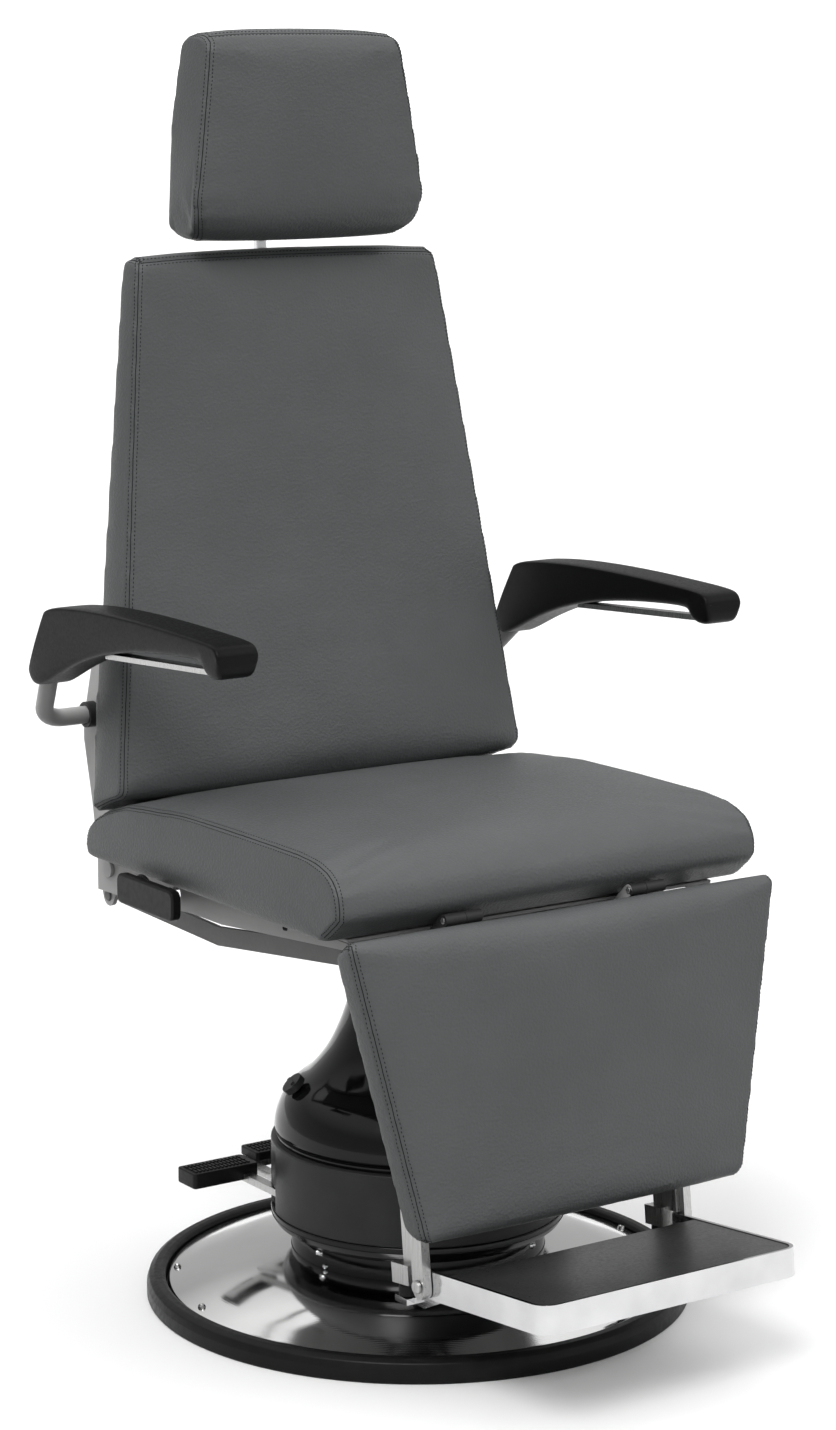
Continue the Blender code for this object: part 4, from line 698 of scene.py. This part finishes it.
for side, sign in (("left", -1.0), ("right", 1.0)):
    bm = bmesh.new()
    rings = []
    for high, low in arch:
        high, low = Vector((0.0, *high)), Vector((0.0, *low))
        down = (low - high).normalized()
        tall = (low - high).length
        edge = min(0.0035, tall * 0.2)
        section = [(0.0, 0.0), (0.6, 0.0), (0.90, 0.0002), (0.985, edge * 0.35), (1.0, edge),
                   (1.0, tall * 0.35), (0.97, tall * 0.62), (0.90, tall * 0.86),
                   (0.84, tall - edge * 0.4), (0.76, tall), (0.4, tall), (0.0, tall)]
        loop = section + [(-aside, drop) for aside, drop in section[-2:0:-1]]
        middle = high + Vector((sign * ARM_CENTRE, 0.0, 0.0))
        rings.append([bm.verts.new(middle + down * drop + Vector((aside * ARM_HALF, 0.0, 0.0)))
                      for aside, drop in loop])
    for first, second in zip(rings, rings[1:]):
        for i in range(len(first)):
            j = (i + 1) % len(first)
            bm.faces.new((first[i], first[j], second[j], second[i]))
    for rim in (rings[0], rings[-1]):
        cap = bm.faces.new(rim)
        bmesh.ops.inset_region(bm, faces=[cap], thickness=0.004)
        bmesh.ops.inset_region(bm, faces=[cap], thickness=0.004)
    bmesh.ops.recalc_face_normals(bm, faces=bm.faces[:])
    arm_pad = piece("arm_foam_" + side, bm, FOAM_SKIN, "arm_pad_" + side, ("arm_pad_" + side,),
                    bend=180.0)
    soft = arm_pad.modifiers.new("moulded", "SUBSURF")
    soft.levels = soft.render_levels = 2
    settle(arm_pad)
    for vert, out in [(vert, vert.normal.copy()) for vert in arm_pad.data.vertices]:
        out.z = min(out.z, 0.0)
        vert.co += out * ARM_PROUD

    foot, tip = Vector((0.0, 0.118, 0.7262)), Vector((0.0, -0.109, 0.7402))
    normal = Vector((0.0, 0.064, 0.998)) * BAR_THICK
    inner = Vector((sign * ARM_CENTRE - BAR_HALF, 0.0, 0.0))
    bm = bmesh.new()
    slab(bm, [point + inner for point in (foot, tip, tip - normal, foot - normal)],
         (2.0 * BAR_HALF, 0.0, 0.0))
    eased(piece("arm_bar_" + side, bm, STEEL, "arm_tube_" + side), 0.0008)

    corner = Vector((sign * ARM_ELBOW, *ARM_PIVOT))
    out = Vector((sign, 0.0, 0.0))
    entry = Vector((sign * ARM_CENTRE, *ARM_ENTRY))
    ahead = (entry - corner).normalized()
    turn = out.angle(ahead)
    reach = ARM_BEND * tan(turn / 2.0)
    inward = (ahead - out * ahead.dot(out)).normalized()
    bm = bmesh.new()
    made = bmesh.ops.create_circle(bm, cap_ends=False, segments=28, radius=ARM_TUBE,
                                   matrix=aim((sign * ARM_ROOT, *ARM_PIVOT), out))
    ring = list({edge for vert in made["verts"] for edge in vert.link_edges})
    ring = run_on(bm, ring, out * (ARM_ELBOW - reach - ARM_ROOT))
    ring = [edge for edge in ring if len(edge.link_faces) == 1]
    turned = bmesh.ops.spin(bm, geom=ring + list({vert for edge in ring for vert in edge.verts}),
                            cent=corner - out * reach + inward * ARM_BEND, axis=out.cross(inward),
                            dvec=(0.0, 0.0, 0.0), angle=turn, steps=14, use_merge=False)
    ring = [item for item in turned["geom_last"] if isinstance(item, bmesh.types.BMEdge)]
    run_on(bm, ring, ahead * ((entry - corner).length + ARM_INSERT - reach))
    bmesh.ops.recalc_face_normals(bm, faces=bm.faces[:])
    bmesh.ops.holes_fill(bm, edges=[edge for edge in bm.edges if len(edge.link_faces) == 1])
    piece("arm_bent_tube_" + side, bm, GREY_PAINT, "arm_tube_" + side, ("arm_tube_" + side,),
          bend=40.0)

# Base
ring_outline = filleted([
    (RING_INNER, 0.0), (BASE_RADIUS - 0.0015, 0.0), (BASE_RADIUS, 0.0015),
    (BASE_RADIUS, RING_HEIGHT - 0.0115), (BASE_RADIUS - 0.0025, RING_HEIGHT - 0.0040),
    (BASE_RADIUS - 0.0085, RING_HEIGHT - 0.0002), (RING_INNER + 0.0050, RING_HEIGHT),
    (RING_INNER + 0.0010, RING_HEIGHT - 0.0020), (RING_INNER, RING_HEIGHT - 0.0060)], 0.004, closed=True)
piece("base_trim_ring", spun(bmesh.new(), ring_outline, 192), RUBBER, "base_ring", ("base_ring",), bend=50.0)
dome = curve_through([(0.1405, 0.0538), (0.150, 0.0532), (0.178, 0.0482), (0.2095, 0.0415), (0.238, 0.0330),
                      (0.2600, 0.0252), (0.2690, 0.0220)], 0.004)
dome += filleted([(0.2705, 0.0215), (0.2760, 0.0195), (0.2770, 0.0130)], 0.003)
cover = piece("base_dome", spun(bmesh.new(), dome, 192, closed=False), STAINLESS, "base_cover",
              ("base_cover",), bend=60.0)
wall = cover.modifiers.new("sheet", "SOLIDIFY")
wall.thickness = 0.0015
wall.offset = -1.0
for number, angle in enumerate((146.0, 175.0, 326.0, 355.0), 1):
    turn = radians(angle)
    bm = bmesh.new()
    seat = aim((SCREW_CIRCLE * cos(turn), SCREW_CIRCLE * sin(turn), 0.0230),
               (0.25 * cos(turn), 0.25 * sin(turn), 1.0))
    socket_screw(bm, seat, 0.0045, 0.0032)
    node = "cover_screw_%d" % number
    eased(piece("dome_screw_%d" % number, bm, STEEL, node, (node,)), 0.0004)
hub = filleted([(0.090, 0.050), (HUB_RADIUS, 0.050), (HUB_RADIUS, HUB_TOP), (0.090, HUB_TOP)],
               0.002, closed=True)
piece("hub_ring", spun(bmesh.new(), hub), BLACK_GLOSS, "hub_collar", ("hub_collar",))
bm = bmesh.new()
for angle, level, radius in ((186.0, 0.0700, 0.0048), (190.0, 0.0575, 0.0034), (298.0, 0.0700, 0.0048),
                             (6.0, 0.0700, 0.0048), (118.0, 0.0700, 0.0048)):
    turn = radians(angle)
    socket_screw(bm, aim(((HUB_RADIUS - 0.0005) * cos(turn), (HUB_RADIUS - 0.0005) * sin(turn), level),
                         (cos(turn), sin(turn), 0.0)), radius, 0.0028)
piece("hub_screws", bm, CHROME, "hub_collar")

drum_outline = filleted([(0.120, DRUM_TOP), (DRUM_RADIUS, DRUM_TOP), (DRUM_RADIUS, 0.0995), (0.1585, 0.0995),
                         (0.1585, 0.1740), (0.120, 0.1740)], 0.0025, closed=True)
drum = piece("drum_shell", spun(bmesh.new(), drum_outline), BLACK_SATIN, "drum_housing", ("drum_housing",))
bm = bmesh.new()
for low, high in (((-0.1535, 0.034, 0.101), (-0.1375, 0.140, 0.128)),
                  ((-0.128, 0.034, 0.101), (-0.112, 0.140, 0.128))):
    low, high = Vector(low), Vector(high)
    bmesh.ops.create_cube(bm, size=1.0, matrix=Matrix.Translation((low + high) / 2.0)
                          @ Matrix.Diagonal((*(high - low), 1.0)))
slots_cut = placed("pedal_slots", bm)
cut = drum.modifiers.new("pedal_slots", "BOOLEAN")
cut.operation = "DIFFERENCE"
cut.solver = "EXACT"
cut.object = slots_cut
settle(drum)
bpy.data.objects.remove(slots_cut)
rim = filleted([(0.120, 0.0790), (0.1500, 0.0790), (0.1580, 0.0852), (0.1624, 0.0925), (0.1624, 0.0985),
                (0.1600, 0.0994), (0.1560, 0.0950), (0.1440, 0.0830), (0.120, 0.0830)], 0.003, closed=True)
piece("drum_rim", spun(bmesh.new(), rim), BLACK_GLOSS, "hub_collar")

bell_shape = [(0.0, 1.0), (0.062, 0.922), (0.164, 0.788), (0.272, 0.638), (0.415, 0.494), (0.610, 0.370),
              (0.785, 0.300), (0.908, 0.222), (0.980, 0.132), (1.0, 0.062)]
bell = [(BELL_NECK + share * (BELL_BASE - BELL_NECK), BELL_FOOT + level * (BELL_TOP - BELL_FOOT))
        for share, level in bell_shape]
lip = [(BELL_NECK - 0.0025, BELL_TOP - 0.004), (BELL_NECK - 0.0012, BELL_TOP)]
bead = [(BELL_BASE - inset, level) for inset, level in (
    (0.0008, 0.1872), (0.0028, 0.1858), (0.0030, 0.1850), (0.0012, 0.1838), (0.0012, 0.1822),
    (0.0034, 0.1812), (0.0036, 0.1786))]
bell = lip + curve_through(bell, 0.004) + bead
shell = piece("bell_shell", spun(bmesh.new(), bell, closed=False), BLACK_GLOSS, "bell_cover",
              ("bell_cover",), bend=50.0)
wall = shell.modifiers.new("wall", "SOLIDIFY")
wall.thickness = 0.002
wall.offset = -1.0

# Pedals with ribbed rubber pads
for side, low, high, skirt, under in (("side", (-0.215, 0.120), (-0.132, 0.158), 0.1185, RUBBER),
                                      ("rear", (-0.116, 0.149), (-0.074, 0.186), 0.1254, None)):
    bm = bmesh.new()
    corners = filleted([(low[0], low[1], skirt), (high[0], low[1], skirt), (high[0], high[1], skirt),
                        (low[0], high[1], skirt)], 0.005, closed=True)
    slab(bm, corners, (0.0, 0.0, TREAD_TOP - skirt))
    node = "pedal_pad_" + side
    eased(piece("pedal_tread_" + side, bm, RUBBER, node, (node,)), 0.0016, 3)
    bm = bmesh.new()
    lane_width = (high[1] - low[1] - 2.0 * TREAD_RIM) / RIB_ROWS
    count = int((high[0] - low[0] - 2.0 * TREAD_RIM) / RIB_PITCH)
    rib = Matrix.Diagonal((RIB_SIZE[0], lane_width - RIB_GAP, RIB_SIZE[1], 1.0))
    for lane in range(RIB_ROWS):
        for step in range(count):
            spot = (low[0] + TREAD_RIM + (step + 0.5) * RIB_PITCH,
                    low[1] + TREAD_RIM + (lane + 0.5) * lane_width, TREAD_TOP + 0.0004)
            bmesh.ops.create_cube(bm, size=1.0, matrix=Matrix.Translation(spot) @ rib)
    eased(piece("pedal_ribs_" + side, bm, RUBBER, node), 0.0006, 2)
    dressed("pedal_arm_" + side, width=0.0008, second=under, where=lambda spot: spot.y > 0.1195)

# Release lever: a plain rounded paddle on a boss
bm = bmesh.new()
lever_out = -(SEAT_HALF + 0.0055)
paddle = filleted([(lever_out - 0.004, y, z) for y, z in (
    (LEVER_FRONT, LEVER_LOW), (LEVER_REAR, LEVER_LOW), (LEVER_REAR, LEVER_HIGH), (LEVER_FRONT, LEVER_HIGH))],
    0.010, closed=True)
slab(bm, paddle, (-0.012, 0.0, 0.0))
for spot, depth, radius in (((lever_out - 0.003, *LEVER_BOSS), 0.006, 0.019),
                            ((lever_out + 0.016, *LEVER_PIVOT), 0.036, 0.008)):
    bmesh.ops.create_cone(bm, cap_ends=True, segments=40, radius1=radius, radius2=radius, depth=depth,
                          matrix=aim(spot, (1.0, 0.0, 0.0)))
eased(piece("release_paddle", bm, RUBBER, "release_lever", ("release_lever",)), 0.0028, 4)

# One screw in each side plate
for side, sign in (("left", -1.0), ("right", 1.0)):
    bm = bmesh.new()
    socket_screw(bm, aim((sign * SIDE_FACE, -0.100, 0.4625), (sign, 0.0, 0.0)), 0.0035, 0.0025)
    piece("plate_screw_" + side, bm, BLACK_SATIN, "seat_side_plate_" + side)

# Footrest mat with softer edges
dressed("foot_mat", MAT, 0.0015)

# Rigid nodes that only need a finish and eased edges
for node in ("seat_pan", "seat_side_plate_left", "seat_side_plate_right", "back_frame", "back_board",
             "leg_board", "foot_frame", "foot_plate", "foot_bumper_left", "foot_bumper_right",
             "foot_pivot_bolt_left", "foot_pivot_bolt_right", "arm_bush_left", "arm_bush_right",
             "head_post_guide", "head_clamp_knob", "head_post", "head_tilt_block", "head_board",
             "swivel_lock_knob", "swivel_head", "swivel_bearing", "ram", "gas_spring_cylinder",
             "gas_spring_rod", "pump_cylinder", "pump_block", "base_plate"):
    dressed(node)
# The link bars take the darker copy of the grey paint: painted shade for the shadow under the seat.
for side in ("left", "right"):
    dressed("link_bar_" + side, SHADED_GREY_PAINT)
    dressed("back_hinge_pin_" + side, GREY_PAINT)
    dressed("leg_hinge_pin_" + side)
# The link shaft takes the same painted shade.
dressed("link_shaft", SHADED_GREY_PAINT)
# The hinge knuckles between the seat and the legrest are black
for node in ("seat_subframe", "leg_frame"):
    dressed(node, second=BLACK_SATIN, where=lambda spot: spot.z > 0.452 and spot.y < -0.212)

# Studio: a pale floor that throws no light up under the chair, and a white backdrop that lights nothing
scene.view_settings.view_transform = "Standard"
PALE = finish("pale_floor", (0.98, 0.98, 0.98), 0.8, Specular_IOR_Level=0.0)
WHITE = finish("white_backdrop", (1.0, 1.0, 1.0), 1.0,
               Emission_Color=(1.0, 1.0, 1.0, 1.0), Emission_Strength=1.0)
bm = bmesh.new()
bmesh.ops.create_circle(bm, cap_ends=True, segments=96, radius=300.0)
ground = placed("floor", bm)
ground.data.materials.append(PALE)
ground.visible_diffuse = False

bm = bmesh.new()
bmesh.ops.create_cone(bm, cap_ends=False, segments=96, radius1=70.0, radius2=70.0, depth=120.0,
                      matrix=Matrix.Translation((0.0, 0.0, 59.0)))
screen = placed("backdrop", bm)
screen.data.materials.append(WHITE)
screen.visible_diffuse = False
screen.visible_glossy = False
screen.visible_transmission = False
screen.visible_shadow = False

# Light from all round: dark from below, dim round the sides and bright from above
world = bpy.data.worlds.new("studio")
world.use_nodes = True
sky = world.node_tree
place = sky.nodes.new("ShaderNodeTexCoord")
apart = sky.nodes.new("ShaderNodeSeparateXYZ")
span = sky.nodes.new("ShaderNodeMapRange")
span.inputs["From Min"].default_value = -1.0
height = sky.nodes.new("ShaderNodeValToRGB")
steps = height.color_ramp.elements
for level, grey in ((0.47, 0.22), (0.497, 0.62), (0.515, 0.62), (0.58, 0.50), (0.70, 0.46), (0.84, 1.05)):
    steps.new(level).color = (grey, grey, grey, 1.0)
steps[0].color = (0.10, 0.10, 0.10, 1.0)
steps[len(steps) - 1].color = (1.25, 1.25, 1.25, 1.0)
sky.links.new(place.outputs["Generated"], apart.inputs["Vector"])
sky.links.new(apart.outputs["Z"], span.inputs["Value"])
sky.links.new(span.outputs["Result"], height.inputs["Fac"])
sky.links.new(height.outputs["Color"], sky.nodes["Background"].inputs["Color"])
scene.world = world


def distant(name, spot, strength, spread):
    """Hang a wide soft light that shines from a spot towards the chair."""
    lamp = bpy.data.lights.new(name, "SUN")
    lamp.energy = strength
    lamp.angle = radians(spread)
    made = bpy.data.objects.new(name, lamp)
    made.matrix_world = aim(spot, spot)
    scene.collection.objects.link(made)


distant("key", (-2.5, -1.9, 3.6), 1.24, 24.0)
distant("fill", (2.4, -2.8, 2.4), 0.50, 40.0)
